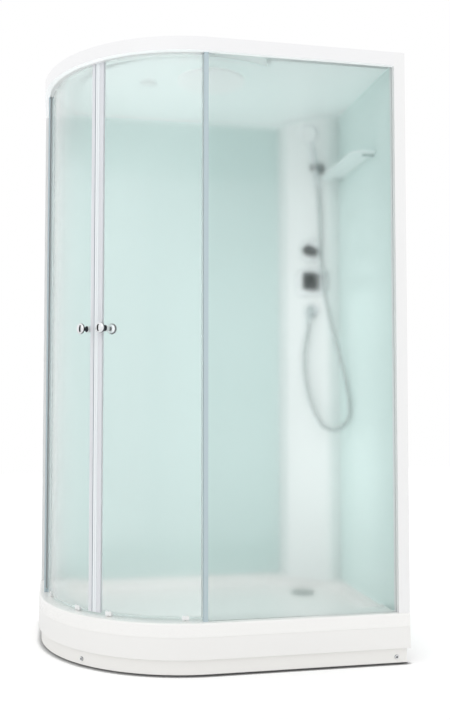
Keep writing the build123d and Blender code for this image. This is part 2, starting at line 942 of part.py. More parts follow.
with BuildPart() as post_seals:
    for place in (right_post_plane, left_post_plane):
        with BuildSketch(place):
            with Locations((-post_width / 2, fixed_glass_inset)):
                Rectangle(post_slot, glass_thickness, align=(Align.CENTER, Align.MIN))
            with Locations((-post_width / 2 - post_slot / 2, fixed_glass_inset)):
                fin = door_glass_inset - touch_gap - fixed_glass_inset
                Rectangle(seal_fin_thickness, fin, align=(Align.MIN, Align.MIN))
        extrude(amount=rail_low - ledge_level, dir=(0, 0, 1))
    # Cut off above the door guides
    with BuildSketch(Plane.XY.offset(ledge_level)):
        Rectangle(cabin_width, cabin_depth)
    guide_room = guide_clearance + 2 * guide_wheel_radius + seal_fin_thickness
    extrude(amount=guide_room, mode=Mode.SUBTRACT)
write(post_seals, "post_seals")

# Top rail: an outer face with a lip below, a web above and channels over the fixed panes
rail_end_back = back_face - touch_gap
web_top = cabin_height - roof_wall
web_low = web_top - rail_web_thickness
with BuildPart() as top_rail:
    with BuildSketch(Plane.XY.offset(rail_low)):
        add(band(rail_inset, rail_inset + rail_wall, side_profile_face, half_depth))
    extrude(amount=cabin_height - rail_low)
    with BuildSketch(Plane.XY.offset(rail_low)):
        add(band(rail_inset, rail_inset + rail_lip, side_profile_face, rail_end_back))
    extrude(amount=rail_wall)
    with BuildSketch(Plane.XY.offset(web_low)):
        add(band(rail_inset, rail_inset + rail_web, side_profile_face, rail_end_back))
        add(sector(track_web_radius, track_web_radius - track_web_width, track_start_angle, track_end_angle))
    extrude(amount=rail_web_thickness)
    with BuildSketch(Plane.XY.offset(web_low - rail_channel_depth)):
        for inset in (
            fixed_glass_inset - glass_fit - rail_channel_wall,
            fixed_glass_inset + glass_thickness + glass_fit,
        ):
            with Locations((front_pane_left, inset - half_depth)):
                Rectangle(
                    side_profile_face - front_pane_left, rail_channel_wall, align=(Align.MIN, Align.MIN)
                )
            with Locations((inset - half_width, side_pane_near)):
                Rectangle(rail_channel_wall, rail_end_back - side_pane_near, align=(Align.MIN, Align.MIN))
    extrude(amount=rail_channel_depth)
write(top_rail, "top_rail")

# Roller track: a channel of one radius hung under the web, with a ridge that carries the wheels
wheel_middle = door_radius - glass_thickness - roller_gap
wheel_level = track_level + track_ridge_height + touch_gap + roller_radius - roller_groove
track_outer = wheel_middle + roller_width / 2 + 2 * touch_gap
track_inner = wheel_middle - roller_width / 2 - track_wall
with BuildPart() as roller_track:
    with BuildSketch(Plane.XY.offset(track_level - track_floor)):
        add(sector(track_outer, track_inner - track_wall, track_start_angle, track_end_angle))
    extrude(amount=track_floor)
    with BuildSketch(Plane.XY.offset(track_level)):
        ridge_outer = wheel_middle + track_ridge / 2
        ridge_inner = wheel_middle - track_ridge / 2
        add(sector(ridge_outer, ridge_inner, track_start_angle, track_end_angle))
    extrude(amount=track_ridge_height)
    with BuildSketch(Plane.XY.offset(track_level)):
        add(sector(track_inner, track_inner - track_wall, track_start_angle, track_end_angle))
    extrude(amount=web_low - track_level)
write(roller_track, "roller_track")

# Roof: a thin shell with a raised border over the track, a lower middle and a quarter-round pad
pad_circle = Pos(roof_pad_x, roof_pad_y) * Circle(roof_pad_radius)
pad_hollow = Pos(roof_pad_x, roof_pad_y) * Circle(roof_pad_radius - roof_wall)
pad_outside = pad_circle & footprint(roof_pad_inset, roof_rear_gap)
pad_inside = pad_hollow & footprint(roof_pad_inset + roof_wall, roof_rear_gap + roof_wall)
riser_place = column_point(column_length / 2 + fittings_across, column_rise - supply_pipe_depth)
with BuildPart() as roof:
    with BuildSketch(Plane.XY.offset(web_top)):
        add(footprint(rail_inset + rail_wall, roof_rear_gap))
        with Locations((side_profile_face - touch_gap, -half_depth)):
            notch = side_profile_depth + touch_gap
            Rectangle(side_profile_width * 2, notch, align=(Align.MIN, Align.MIN), mode=Mode.SUBTRACT)
    extrude(amount=roof_wall)
    with BuildSketch(Plane.XY.offset(roof_level)):
        add(footprint(roof_border, roof_rear_gap))
    extrude(amount=cabin_height - roof_level)
    with BuildSketch(Plane.XY.offset(roof_pad_level)):
        add(pad_outside)
    extrude(amount=web_top - roof_pad_level)
    with BuildSketch(Plane.XY.offset(roof_level + roof_wall)):
        add(footprint(roof_border + roof_wall, roof_rear_gap + roof_wall))
    extrude(amount=cabin_height, mode=Mode.SUBTRACT)
    with BuildSketch(Plane.XY.offset(roof_pad_level + roof_wall)):
        add(pad_inside)
    extrude(amount=web_top - roof_pad_level - roof_wall, mode=Mode.SUBTRACT)
    # Rims that stand on the wall panels and the column
    with BuildSketch(Plane.XY.offset(panel_top)):
        with Locations((panel_left, back_face)):
            Rectangle(column_left - panel_left, panel_thickness, align=(Align.MIN, Align.MIN))
        with Locations((side_face, panel_near)):
            Rectangle(panel_thickness, column_front - panel_near, align=(Align.MIN, Align.MIN))
    extrude(amount=web_top - panel_top)
    add(column_line(panel_top, roof_level - panel_top))
    with BuildSketch(Plane.XY.offset(roof_pad_level)):
        with Locations((rain_x, rain_y)):
            Circle(rain_stem_radius + touch_gap)
        with Locations((riser_place.X, riser_place.Y)):
            Circle(riser_hole_radius)
    extrude(amount=cabin_height, mode=Mode.SUBTRACT)
write(roof, "roof")

# Lamp let into the roof
with BuildPart() as roof_lamp:
    with BuildSketch(Plane.XY.offset(roof_level - lamp_depth)):
        with Locations((lamp_x, lamp_y)):
            Circle(lamp_radius)
    extrude(amount=lamp_depth)
    fillet(roof_lamp.edges().group_by(Axis.Z)[0], lamp_depth / 2)
    with BuildSketch(Plane.XY.offset(roof_level - lamp_depth)):
        with Locations((lamp_x, lamp_y)):
            Circle(lamp_lens_radius)
    extrude(amount=lamp_lens_depth, mode=Mode.SUBTRACT)
write(roof_lamp, "roof_lamp")

with BuildPart() as lamp_lens:
    with BuildSketch(Plane.XY.offset(roof_level - lamp_depth)):
        with Locations((lamp_x, lamp_y)):
            Circle(lamp_lens_radius)
    extrude(amount=lamp_lens_depth)
write(lamp_lens, "lamp_lens")


# Doors: bent glass with a seal on the leading edge
def door_glass(start, end, knob_angle, hanger_angles):
    with BuildPart() as piece:
        with BuildSketch(Plane.XY.offset(door_glass_low)):
            add(sector(door_radius, door_radius - glass_thickness, start, end))
        extrude(amount=door_glass_top - door_glass_low)
        holes = [(knob_angle, knob_level, knob_bolt_radius)]
        for angle in hanger_angles:
            holes.append((angle, hanger_level, hanger_stud_radius))
        for angle, level, radius in holes:
            with BuildSketch(curve_plane(angle, door_radius + glass_thickness, level)):
                Circle(radius + bolt_fit)
            extrude(amount=-3 * glass_thickness, mode=Mode.SUBTRACT)
    return piece


def door_seal(start, end, glass_start, glass_end):
    middle = door_radius - glass_thickness / 2
    with BuildPart() as piece:
        with BuildSketch(Plane.XY.offset(door_glass_low)):
            add(sector(middle + door_seal_depth / 2, middle - door_seal_depth / 2, start, end))
            add(
                sector(door_radius, door_radius - glass_thickness, glass_start, glass_end),
                mode=Mode.SUBTRACT,
            )
        extrude(amount=door_glass_top - door_glass_low)
    return piece


hanger_level = (hanger_low + door_glass_top) / 2
seal_span = arc_angle(door_seal_width, door_radius)
slot_span = arc_angle(door_seal_width - door_seal_slot, door_radius)
right_seal_end = door_seam_angle - door_gap_angle
left_seal_end = door_seam_angle + door_gap_angle
right_glass_end = right_seal_end - slot_span
left_glass_end = left_seal_end + slot_span
door_right = door_glass(right_door_edge_angle, right_glass_end, right_knob_angle, right_hanger_angles)
write(door_right, "door_right")
door_left = door_glass(left_glass_end, left_door_edge_angle, left_knob_angle, left_hanger_angles)
write(door_left, "door_left")
door_seal_right = door_seal(
    right_seal_end - seal_span, right_seal_end, right_door_edge_angle, right_glass_end
)
write(door_seal_right, "door_seal_right")
door_seal_left = door_seal(left_seal_end, left_seal_end + seal_span, left_glass_end, left_door_edge_angle)
write(door_seal_left, "door_seal_left")


# Hangers: a plate behind the glass with a stud through it and an axle for the wheel
def hangers(angles):
    with BuildPart() as piece:
        inner = door_radius - glass_thickness
        span = arc_angle(hanger_width / 2, inner)
        for angle in angles:
            with BuildSketch(Plane.XY.offset(hanger_low)):
                add(sector(inner, inner - hanger_thickness, angle - span, angle + span))
            extrude(amount=hanger_top - hanger_low)
            with BuildSketch(curve_plane(angle, door_radius + hanger_cap_thickness, hanger_level)):
                Circle(hanger_stud_radius)
            extrude(amount=-hanger_cap_thickness - glass_thickness - hanger_thickness / 2)
            with BuildSketch(curve_plane(angle, door_radius + hanger_cap_thickness, hanger_level)):
                Circle(hanger_cap_radius)
            extrude(amount=-hanger_cap_thickness)
            with BuildSketch(curve_plane(angle, inner - hanger_thickness / 2, wheel_level)):
                Circle(roller_axle_radius)
            axle_end = wheel_middle - roller_width / 2 - 2 * touch_gap
            extrude(amount=axle_end - inner + hanger_thickness / 2)
    return piece


def wheel(angle):
    # Two rims and a groove between them that runs on the ridge
    rim = (roller_width - track_ridge - 3 * touch_gap) / 2
    with BuildPart() as piece:
        with BuildSketch(curve_plane(angle, wheel_middle - roller_width / 2, wheel_level)):
            Circle(roller_radius - roller_groove)
        extrude(amount=roller_width)
        for foot in (-roller_width / 2, roller_width / 2 - rim):
            with BuildSketch(curve_plane(angle, wheel_middle + foot, wheel_level)):
                Circle(roller_radius)
            extrude(amount=rim)
        with BuildSketch(curve_plane(angle, wheel_middle - roller_width, wheel_level)):
            Circle(roller_axle_radius + spindle_fit)
        extrude(amount=2 * roller_width, mode=Mode.SUBTRACT)
    return piece


# Guides: blocks with two round feet that hold the foot of each door over the ledge
def guides(angles):
    with BuildPart() as piece:
        outer = door_radius + guide_outer
        depth = guide_outer + glass_thickness + guide_inner
        foot_level = ledge_level + guide_clearance + guide_wheel_radius
        for angle in angles:
            with BuildSketch(curve_plane(angle, outer, foot_level)):
                with Locations((-guide_wheel_radius, 0), (guide_wheel_radius, 0)):
                    Circle(guide_wheel_radius)
                Rectangle(2 * guide_wheel_radius, guide_wheel_radius)
            extrude(amount=-depth)
        with BuildSketch(Plane.XY.offset(door_glass_low)):
            start = angles[0] - guide_cut_angle
            end = angles[-1] + guide_cut_angle
            add(sector(door_radius, door_radius - glass_thickness, start, end))
        extrude(amount=4 * guide_wheel_radius, mode=Mode.SUBTRACT)
    return piece


def knobs(angle):
    # A turned knob on each side of the glass, joined by one bolt
    with BuildPart() as piece:
        outer_foot = door_radius + washer_thickness
        inner_foot = door_radius - glass_thickness - washer_thickness - washer_seat
        for side, reach in ((1, outer_foot), (-1, inner_foot)):
            middle = curve_point(angle, reach, knob_level)
            side_plane = Plane(middle, x_dir=(0, 0, 1), z_dir=curve_plane(angle, 0, 0).x_dir)
            outwards = side_plane.y_dir.dot(compass(angle)) * side
            with BuildSketch(side_plane):
                with BuildLine():
                    points = [(radius, height * outwards) for radius, height in knob_profile]
                    Polyline((0, 0), *points, (0, knob_top * outwards), close=True)
                make_face()
            revolve(axis=Axis(middle, compass(angle)))
        with BuildSketch(curve_plane(angle, door_radius + 2 * washer_thickness, knob_level)):
            Circle(knob_bolt_radius)
        extrude(amount=-glass_thickness - 4 * washer_thickness)
    return piece


def knob_washers(angle):
    with BuildPart() as piece:
        for reach in (door_radius, door_radius - glass_thickness - washer_thickness - washer_seat):
            with BuildSketch(curve_plane(angle, reach, knob_level)):
                Circle(knob_profile[0][0])
                Circle(knob_bolt_radius + touch_gap, mode=Mode.SUBTRACT)
            extrude(amount=washer_thickness)
    return piece


for side, hanger_angles, guide_angles, knob_angle in (
    ("right", right_hanger_angles, right_guide_angles, right_knob_angle),
    ("left", left_hanger_angles, left_guide_angles, left_knob_angle),
):
    write(hangers(hanger_angles), "hangers_" + side)
    for place, angle in zip(("front", "rear"), hanger_angles):
        write(wheel(angle), "roller_" + side + "_" + place)
    write(guides(guide_angles), "guides_" + side)
    write(knobs(knob_angle), "knob_" + side)
    write(knob_washers(knob_angle), "knob_washers_" + side)


# Mixer: cover plate, valve body, a spindle that turns and a handle that lifts on it
def fitting_plane(level, out=0):
    return column_plane(fittings_across, level, out)


def side_plane(across, level, out=0):
    # A plane square to the width of the column
    return Plane(column_plane(across, level, out).origin, x_dir=column_out, z_dir=column_along)


with BuildPart() as mixer_plate:
    with BuildSketch(fitting_plane(mixer_level)):
        with Locations((mixer_plate_shift, 0)):
            RectangleRounded(mixer_plate_width, mixer_plate_height, mixer_plate_corner)
        Circle(mixer_hub_radius + touch_gap, mode=Mode.SUBTRACT)
    extrude(amount=mixer_plate_thickness)
    front_faces = mixer_plate.faces().sort_by(Axis((0, 0, 0), column_out))[-1]
    fillet(front_faces.outer_wire().edges(), mixer_plate_thickness / 2)
write(mixer_plate, "mixer_plate")

hub_top = mixer_plate_thickness + mixer_hub_height
pivot_out = hub_top + mixer_knob_gap + mixer_pivot_height
spindle_top = pivot_out + 2 * mixer_pivot_radius
with BuildPart() as mixer_body:
    with BuildSketch(fitting_plane(mixer_level, -column_wall - touch_gap)):
        Circle(mixer_body_radius)
    extrude(amount=-mixer_body_depth)
    with BuildSketch(fitting_plane(mixer_level, hub_top)):
        Circle(mixer_hub_radius)
    extrude(amount=-hub_top - 2 * column_wall)
    with BuildSketch(fitting_plane(mixer_level, hub_top)):
        Circle(mixer_spindle_radius + spindle_fit)
    extrude(amount=-hub_top - mixer_spindle_depth - touch_gap, mode=Mode.SUBTRACT)
    # Two inlets that point down, for hot and cold
    inlet_out = -column_wall - mixer_body_depth / 2
    with BuildSketch(Plane(column_plane(fittings_across - inlet_spacing / 2, mixer_level, inlet_out).origin,
                           x_dir=column_out, z_dir=column_along)):
        Circle(inlet_arm_radius)
    extrude(amount=inlet_spacing)
    for side in (-inlet_spacing / 2, inlet_spacing / 2):
        place = column_plane(fittings_across + side, mixer_level, inlet_out).origin
        with BuildSketch(Plane(place, x_dir=column_along, z_dir=(0, 0, -1))):
            Circle(inlet_arm_radius)
        extrude(amount=mixer_body_radius)
        with BuildSketch(Plane(place, x_dir=column_along, z_dir=(0, 0, -1)).offset(mixer_body_radius)):
            Circle(inlet_radius)
        extrude(amount=inlet_length)
write(mixer_body, "mixer_body")

with BuildPart() as mixer_spindle:
    with BuildSketch(fitting_plane(mixer_level, spindle_top)):
        Circle(mixer_spindle_radius)
    extrude(amount=-spindle_top - mixer_spindle_depth)
    with BuildSketch(side_plane(fittings_across - mixer_pivot_length / 2, mixer_level, pivot_out)):
        Circle(mixer_pivot_radius)
    extrude(amount=mixer_pivot_length)
write(mixer_spindle, "mixer_spindle")

with BuildPart() as mixer_handle:
    with BuildSketch(fitting_plane(mixer_level, hub_top + mixer_knob_gap)):
        with Locations((0, mixer_knob_rise)):
            RectangleRounded(mixer_knob_width, mixer_knob_height, mixer_knob_corner)
    extrude(amount=mixer_knob_thickness)
    fillet(mixer_handle.faces().sort_by(Axis((0, 0, 0), column_out))[-1].edges(), mixer_knob_edge)
    with BuildSketch(fitting_plane(mixer_level, hub_top + mixer_knob_gap)):
        Circle(mixer_knob_socket_radius)
    extrude(amount=mixer_knob_socket_depth, mode=Mode.SUBTRACT)
    pivot_start = fittings_across - mixer_pivot_length / 2 - mixer_pivot_gap
    with BuildSketch(side_plane(pivot_start, mixer_level, pivot_out)):
        Circle(mixer_pivot_radius + spindle_fit)
    extrude(amount=mixer_pivot_length + 2 * mixer_pivot_gap, mode=Mode.SUBTRACT)
write(mixer_handle, "mixer_handle")

# Diverter: escutcheon, valve body and a fluted knob
with BuildPart() as diverter_rose:
    with BuildSketch(fitting_plane(diverter_level)):
        Circle(diverter_rose_radius)
    extrude(amount=diverter_rose_height)
    fillet(diverter_rose.faces().sort_by(Axis((0, 0, 0), column_out))[-1].edges(), diverter_rose_height / 2)
    with BuildSketch(fitting_plane(diverter_level)):
        Circle(mixer_spindle_radius + touch_gap)
    extrude(amount=diverter_rose_height, mode=Mode.SUBTRACT)
write(diverter_rose, "diverter_rose")

with BuildPart() as diverter_body:
    with BuildSketch(fitting_plane(diverter_level)):
        Circle(diverter_body_radius)
        Circle(mixer_spindle_radius + spindle_fit, mode=Mode.SUBTRACT)
    extrude(amount=-column_wall)
    with BuildSketch(fitting_plane(diverter_level, -column_wall)):
        Circle(diverter_body_radius)
        Circle(mixer_spindle_radius + spindle_fit, mode=Mode.SUBTRACT)
    extrude(amount=-diverter_body_depth / 2)
    with BuildSketch(fitting_plane(diverter_level, -column_wall - diverter_body_depth / 2)):
        Circle(diverter_body_radius)
    extrude(amount=-diverter_body_depth / 2)
write(diverter_body, "diverter_body")

with BuildPart() as diverter_knob:
    with BuildSketch(fitting_plane(diverter_level, diverter_rose_height + touch_gap)):
        Circle(diverter_knob_radius)
        with PolarLocations(diverter_knob_radius, diverter_grip_count):
            Circle(diverter_grip_radius, mode=Mode.SUBTRACT)
    extrude(amount=diverter_knob_height)
    chamfer(diverter_knob.faces().sort_by(Axis((0, 0, 0), column_out))[-1].edges(), diverter_knob_edge / 2)
    with BuildSketch(fitting_plane(diverter_level, diverter_rose_height + diverter_knob_edge)):
        Circle(mixer_spindle_radius)
    extrude(amount=-diverter_rose_height - diverter_body_depth / 3)
write(diverter_knob, "diverter_knob")

# Hose outlet: an escutcheon, an arm and a nipple that points down
with BuildPart() as hose_outlet:
    with BuildSketch(fitting_plane(outlet_level)):
        Circle(outlet_rose_radius)
    extrude(amount=outlet_rose_height)
    fillet(hose_outlet.faces().sort_by(Axis((0, 0, 0), column_out))[-1].edges(), outlet_rose_height / 3)
    with BuildSketch(fitting_plane(outlet_level, outlet_arm_length)):
        Circle(outlet_arm_radius)
    extrude(amount=-outlet_arm_length - supply_pipe_depth)
    outlet_tip = fitting_plane(outlet_level, outlet_arm_length).origin
    with Locations(outlet_tip):
        Sphere(outlet_arm_radius)
    with BuildSketch(Plane(outlet_tip, x_dir=column_along, z_dir=(0, 0, -1))):
        Circle(outlet_nipple_radius)
    extrude(amount=outlet_nipple_drop)
write(hose_outlet, "hose_outlet")

# Pipes behind the column and over the roof to the rain shower
pipe_out = -supply_pipe_depth
with BuildPart() as supply_pipes:
    for low, high in (
        (outlet_level + outlet_arm_radius, mixer_level - mixer_body_radius),
        (mixer_level + mixer_body_radius, diverter_level - diverter_body_radius),
    ):
        with BuildSketch(Plane(fitting_plane(low, pipe_out).origin, x_dir=column_along, z_dir=(0, 0, 1))):
            Circle(supply_pipe_radius)
        extrude(amount=high - low)
    riser_start = fitting_plane(diverter_level + diverter_body_radius, pipe_out).origin
    riser_top = fitting_plane(riser_level, pipe_out).origin
    run = Vector(rain_x, rain_y, riser_level) - riser_top
    riser_end = riser_top + run * ((run.length - rain_stem_radius) / run.length)
    with BuildLine():
        FilletPolyline(riser_start, riser_top, riser_end, radius=riser_bend)
    with BuildSketch(Plane(riser_start, x_dir=column_along, z_dir=(0, 0, 1))):
        Circle(supply_pipe_radius)
    sweep()
write(supply_pipes, "supply_pipes")

# Holder: a fixed bracket and a fork that tilts on it
lean = math.radians(shower_lean)
shower_up = column_out * math.sin(lean) + Vector(0, 0, math.cos(lean))
holder_middle = column_plane(holder_across, holder_level, holder_reach).origin
shower_plane = Plane(holder_middle, x_dir=column_along, z_dir=shower_up)
shower_side = Plane(holder_middle, x_dir=column_along, z_dir=column_along.cross(shower_up))
barrel_half = holder_barrel_length / 2
with BuildPart() as holder_bracket:
    with BuildSketch(column_plane(holder_across, holder_level)):
        Circle(holder_rose_radius)
    extrude(amount=holder_rose_height, taper=holder_rose_taper)
    with BuildSketch(column_plane(holder_across, holder_level)):
        Circle(holder_arm_radius)
    extrude(amount=holder_pivot_reach)
    with BuildSketch(side_plane(holder_across - barrel_half, holder_level, holder_pivot_reach)):
        Circle(holder_barrel_radius)
    extrude(amount=holder_barrel_length)
    with BuildSketch(side_plane(holder_across - barrel_half, holder_level, holder_pivot_reach)):
        Circle(holder_pin_radius + spindle_fit)
    extrude(amount=holder_barrel_length, mode=Mode.SUBTRACT)
write(holder_bracket, "holder_bracket")

seat_half = holder_ring_height / 2
with BuildPart() as holder_fork:
    with BuildSketch(shower_plane.offset(-seat_half)):
        Circle(holder_ring_radius)
    extrude(amount=holder_ring_height)
    lug_out = barrel_half + holder_lug_gap
    for start in (-lug_out - holder_lug_thickness, lug_out):
        with BuildSketch(side_plane(holder_across + start, holder_level, holder_pivot_reach)):
            Circle(holder_barrel_radius)
            with Locations((holder_reach - holder_pivot_reach - holder_ring_radius / 2, 0)):
                Circle(holder_barrel_radius)
            make_hull()
        extrude(amount=holder_lug_thickness)
    with BuildSketch(side_plane(holder_across - lug_out, holder_level, holder_pivot_reach)):
        Circle(holder_pin_radius)
    extrude(amount=2 * lug_out)
    # Tapered seat, open at the front for the hose
    with BuildSketch(shower_side):
        with BuildLine():
            Polyline(
                (0, -seat_half),
                (seat_low_radius + shower_seat_fit, -seat_half),
                (seat_top_radius + shower_seat_fit, seat_half),
                (0, seat_half),
                close=True,
            )
        make_face()
    revolve(axis=Axis(holder_middle, shower_up), mode=Mode.SUBTRACT)
    with BuildSketch(shower_plane.offset(-seat_half)):
        with Locations((0, -holder_ring_radius)):
            Rectangle(holder_slot, 2 * holder_ring_radius)
    extrude(amount=holder_ring_height, mode=Mode.SUBTRACT)
write(holder_fork, "holder_fork")

# Hand shower: a tapered handle, a round head and its spray face
head_lean = math.radians(head_tilt)
face_out = column_out * math.cos(head_lean) - Vector(0, 0, math.sin(head_lean))
head_middle = holder_middle + shower_up * head_reach + column_out * head_forward
head_plane = Plane(head_middle, x_dir=column_along, z_dir=face_out)
with BuildPart() as hand_shower:
    with BuildSketch(shower_side):
        with BuildLine():
            Polyline(
                (0, handle_low),
                (handle_nut_radius, handle_low),
                (handle_nut_radius, handle_nut_top),
                (seat_low_radius, -seat_half),
                (seat_top_radius, seat_half),
                *handle_waist,
                (0, handle_waist[-1][1]),
                close=True,
            )
        make_face()
    revolve(axis=Axis(holder_middle, shower_up))
    with BuildSketch(head_plane):
        Circle(head_radius)
    extrude(amount=-head_rim)
    with BuildSketch(head_plane.offset(-head_rim)):
        Circle(head_radius)
    extrude(amount=-head_back, taper=head_back_taper)
write(hand_shower, "hand_shower")

with BuildPart() as spray_face:
    with BuildSketch(head_plane):
        Circle(spray_face_radius)
    extrude(amount=spray_face_thickness)
    with BuildSketch(head_plane.offset(spray_face_thickness)):
        for ring in range(1, nozzle_ring_count):
            with PolarLocations(spray_face_radius * ring / nozzle_ring_count, nozzle_ring_angle * ring):
                Circle(nub_radius)
    extrude(amount=nub_drop)
write(spray_face, "spray_face")

# Shower hose: from the foot of the handle round to the nipple
hose_start = holder_middle + shower_up * handle_low
hose_end = outlet_tip - Vector(0, 0, outlet_nipple_drop)
route = [hose_start, hose_start - shower_up * hose_lead]
for across, out, rise in hose_route:
    route.append(column_plane(across, outlet_level + rise, out).origin)
route.append(hose_end - Vector(0, 0, hose_tail))
route.append(hose_end)
bends = []
for before, point, after in zip(route, route[1:], route[2:]):
    coming = point - before
    going = after - point
    turn = math.radians(coming.get_angle(going))
    bends.append(0.45 * min(coming.length, going.length) / math.tan(turn / 2))
print("hose bends", [round(bend) for bend in bends])
with BuildPart() as shower_hose:
    with BuildLine() as hose_line:
        FilletPolyline(*route, radius=bends)
    with BuildSketch(Plane(hose_start, x_dir=column_along, z_dir=-shower_up)):
        Circle(hose_radius)
    sweep()
hose_length = sum(edge.length for edge in hose_line.edges())
hose_section = math.pi * hose_radius**2
print("hose length", round(hose_length), "volume ratio", shower_hose.part.volume / hose_section / hose_length)
write(shower_hose, "shower_hose")

# Rain shower: a ball on a stem through the roof, and a disc that tilts on it
ball_level = rain_level + rain_thickness + rain_ball_height
ball_middle = (rain_x, rain_y, ball_level)
with BuildPart() as rain_arm:
    with BuildSketch(Plane((rain_x, rain_y, roof_level))):
        Circle(rain_flange_radius)
    extrude(amount=-rain_flange_height, taper=rain_flange_taper)
    with BuildSketch(Plane((rain_x, rain_y, ball_level))):
        Circle(rain_neck_radius)
    extrude(amount=roof_level - ball_level)
    with BuildSketch(Plane((rain_x, rain_y, roof_level))):
        Circle(rain_stem_radius)
    extrude(amount=riser_level + supply_pipe_radius - roof_level)
    with Locations(ball_middle):
        Sphere(rain_ball_radius)
write(rain_arm, "rain_arm")

with BuildPart() as rain_shower:
    with BuildSketch(Plane((rain_x, rain_y, rain_level))):
        Circle(rain_radius)
    extrude(amount=rain_thickness)
    fillet(rain_shower.edges().group_by(Axis.Z)[-1], rain_edge)
    with BuildSketch(Plane((rain_x, rain_y, rain_level + rain_thickness))):
        Circle(rain_hub_radius)
    extrude(amount=rain_hub_height)
    with Locations(ball_middle):
        Sphere(rain_ball_radius + spindle_fit, mode=Mode.SUBTRACT)
    with BuildSketch(Plane((rain_x, rain_y, rain_level))):
        for ring in range(1, nozzle_ring_count + 1):
            with PolarLocations(rain_radius * ring / (nozzle_ring_count + 1), 8 * ring):
                Circle(nozzle_radius)
    extrude(amount=-nozzle_drop)
write(rain_shower, "rain_shower")

# Shelf on the side wall, clamped in two brackets
shelf_right = side_face - shelf_wall_gap
with BuildPart() as shelf:
    with BuildSketch(Plane.XY.offset(shelf_level)):
        with Locations((shelf_right, shelf_near)):
            board = Rectangle(shelf_depth, shelf_far - shelf_near, align=(Align.MAX, Align.MIN))
        fillet(board.vertices().group_by(Axis.X)[0], shelf_corner)
    extrude(amount=shelf_thickness)
    fillet(shelf.edges().filter_by(Plane.XY), shelf_thickness / 4)
write(shelf, "shelf")

bracket_level = shelf_level + shelf_thickness / 2
with BuildPart() as shelf_brackets:
    for place in (shelf_near + shelf_bracket_inset, shelf_far - shelf_bracket_inset):
        with BuildSketch(Plane((side_face, place, bracket_level), x_dir=(0, 1, 0), z_dir=(-1, 0, 0))):
            Circle(shelf_bracket_radius)
        extrude(amount=shelf_bracket_reach)
    with BuildSketch(Plane((shelf_right, 0, bracket_level), x_dir=(0, 1, 0), z_dir=(-1, 0, 0))):
        Rectangle(cabin_depth, shelf_thickness)
    extrude(amount=shelf_bracket_reach, mode=Mode.SUBTRACT)
write(shelf_brackets, "shelf_brackets")
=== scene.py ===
import json
import math

import bmesh
import bpy
import numpy as np
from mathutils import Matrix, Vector


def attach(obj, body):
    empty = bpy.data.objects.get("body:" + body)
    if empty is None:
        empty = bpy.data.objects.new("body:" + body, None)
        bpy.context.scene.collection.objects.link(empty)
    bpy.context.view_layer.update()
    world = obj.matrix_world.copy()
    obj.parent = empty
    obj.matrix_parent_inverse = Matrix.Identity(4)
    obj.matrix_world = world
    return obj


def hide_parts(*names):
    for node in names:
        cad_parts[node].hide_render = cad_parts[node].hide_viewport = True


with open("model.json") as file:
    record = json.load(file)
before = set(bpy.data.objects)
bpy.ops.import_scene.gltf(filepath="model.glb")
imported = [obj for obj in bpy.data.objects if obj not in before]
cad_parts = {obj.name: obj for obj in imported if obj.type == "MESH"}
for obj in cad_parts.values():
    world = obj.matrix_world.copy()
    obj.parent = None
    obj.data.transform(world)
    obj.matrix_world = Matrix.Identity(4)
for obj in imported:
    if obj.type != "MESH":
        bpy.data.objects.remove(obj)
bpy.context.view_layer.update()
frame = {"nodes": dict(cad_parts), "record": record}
nodes = frame["nodes"]
bodyOf = {}
for bodyName, members in frame["record"]["behaviour"]["bodies"].items():
    for member in members:
        bodyOf[member] = bodyName
print("frame loaded with", len(nodes), "nodes")


# Camera, at the photograph's angle
cameraSettings = {
    "place": (-0.535, -3.0362, 0.8609),  # metres
    "turn": -0.1934,  # radians, to the right of straight ahead
    "pitch": 0.0463,  # radians, upwards
    "lens": 42.3,  # mm
    "sensor": 36,  # mm
    "reach": 60,  # metres to the farthest thing seen
}


def placed(name, data):
    # a new object at the origin with the given mesh, camera or lamp
    made = bpy.data.objects.new(name, data)
    bpy.context.collection.objects.link(made)
    return made


cameraData = bpy.data.cameras.new("photoCamera")
cameraData.lens = cameraSettings["lens"]
cameraData.sensor_width = cameraSettings["sensor"]
cameraData.sensor_fit = "AUTO"
cameraData.clip_end = cameraSettings["reach"]
camera = placed("photoCamera", cameraData)
camera.location = cameraSettings["place"]
camera.rotation_euler = (math.pi / 2 + cameraSettings["pitch"], 0, cameraSettings["turn"])
bpy.context.scene.camera = camera


# Helpers for colours and meshes
def tint(red, green, blue):
    # screen colour, 0 to 255, to linear light: part / 12.92 where it is darkest,
    # elsewhere (part + 0.055) / 1.055 to the power 2.4
    parts = np.array([red, green, blue]) / 255
    linear = np.where(parts <= 0.04045, parts / 12.92, ((parts + 0.055) / 1.055) ** 2.4)
    return (*linear.tolist(), 1)


def meshFrom(name, points, faces, materials):
    # a smooth-shaded piece from an array of points in metres and a list of faces
    mesh = bpy.data.meshes.new(name)
    mesh.from_pydata(points.tolist(), [], faces)
    mesh.shade_smooth()
    for material in materials:
        mesh.materials.append(material)
    return placed(name, mesh)


def gridFaces(rows, columns):
    # quads between neighbours in a grid of points, closed round each row
    row = np.arange(rows - 1)[:, None] * columns
    column = np.arange(columns)[None, :]
    beside = (column + 1) % columns
    corners = [row + column, row + beside, row + columns + beside, row + columns + column]
    return np.stack(corners, -1).reshape(-1, 4).tolist()


def turnOutwards(mesh, sharp, openEnds=False):
    # open ends are filled, faces turned outwards, and edges of more than the sharp degrees stay crisp
    work = bmesh.new()
    work.from_mesh(mesh)
    if openEnds:
        bmesh.ops.holes_fill(work, edges=work.edges)
    bmesh.ops.recalc_face_normals(work, faces=work.faces)
    work.to_mesh(mesh)
    work.free()
    mesh.shade_smooth()
    mesh.set_sharp_from_angle(angle=math.radians(sharp))


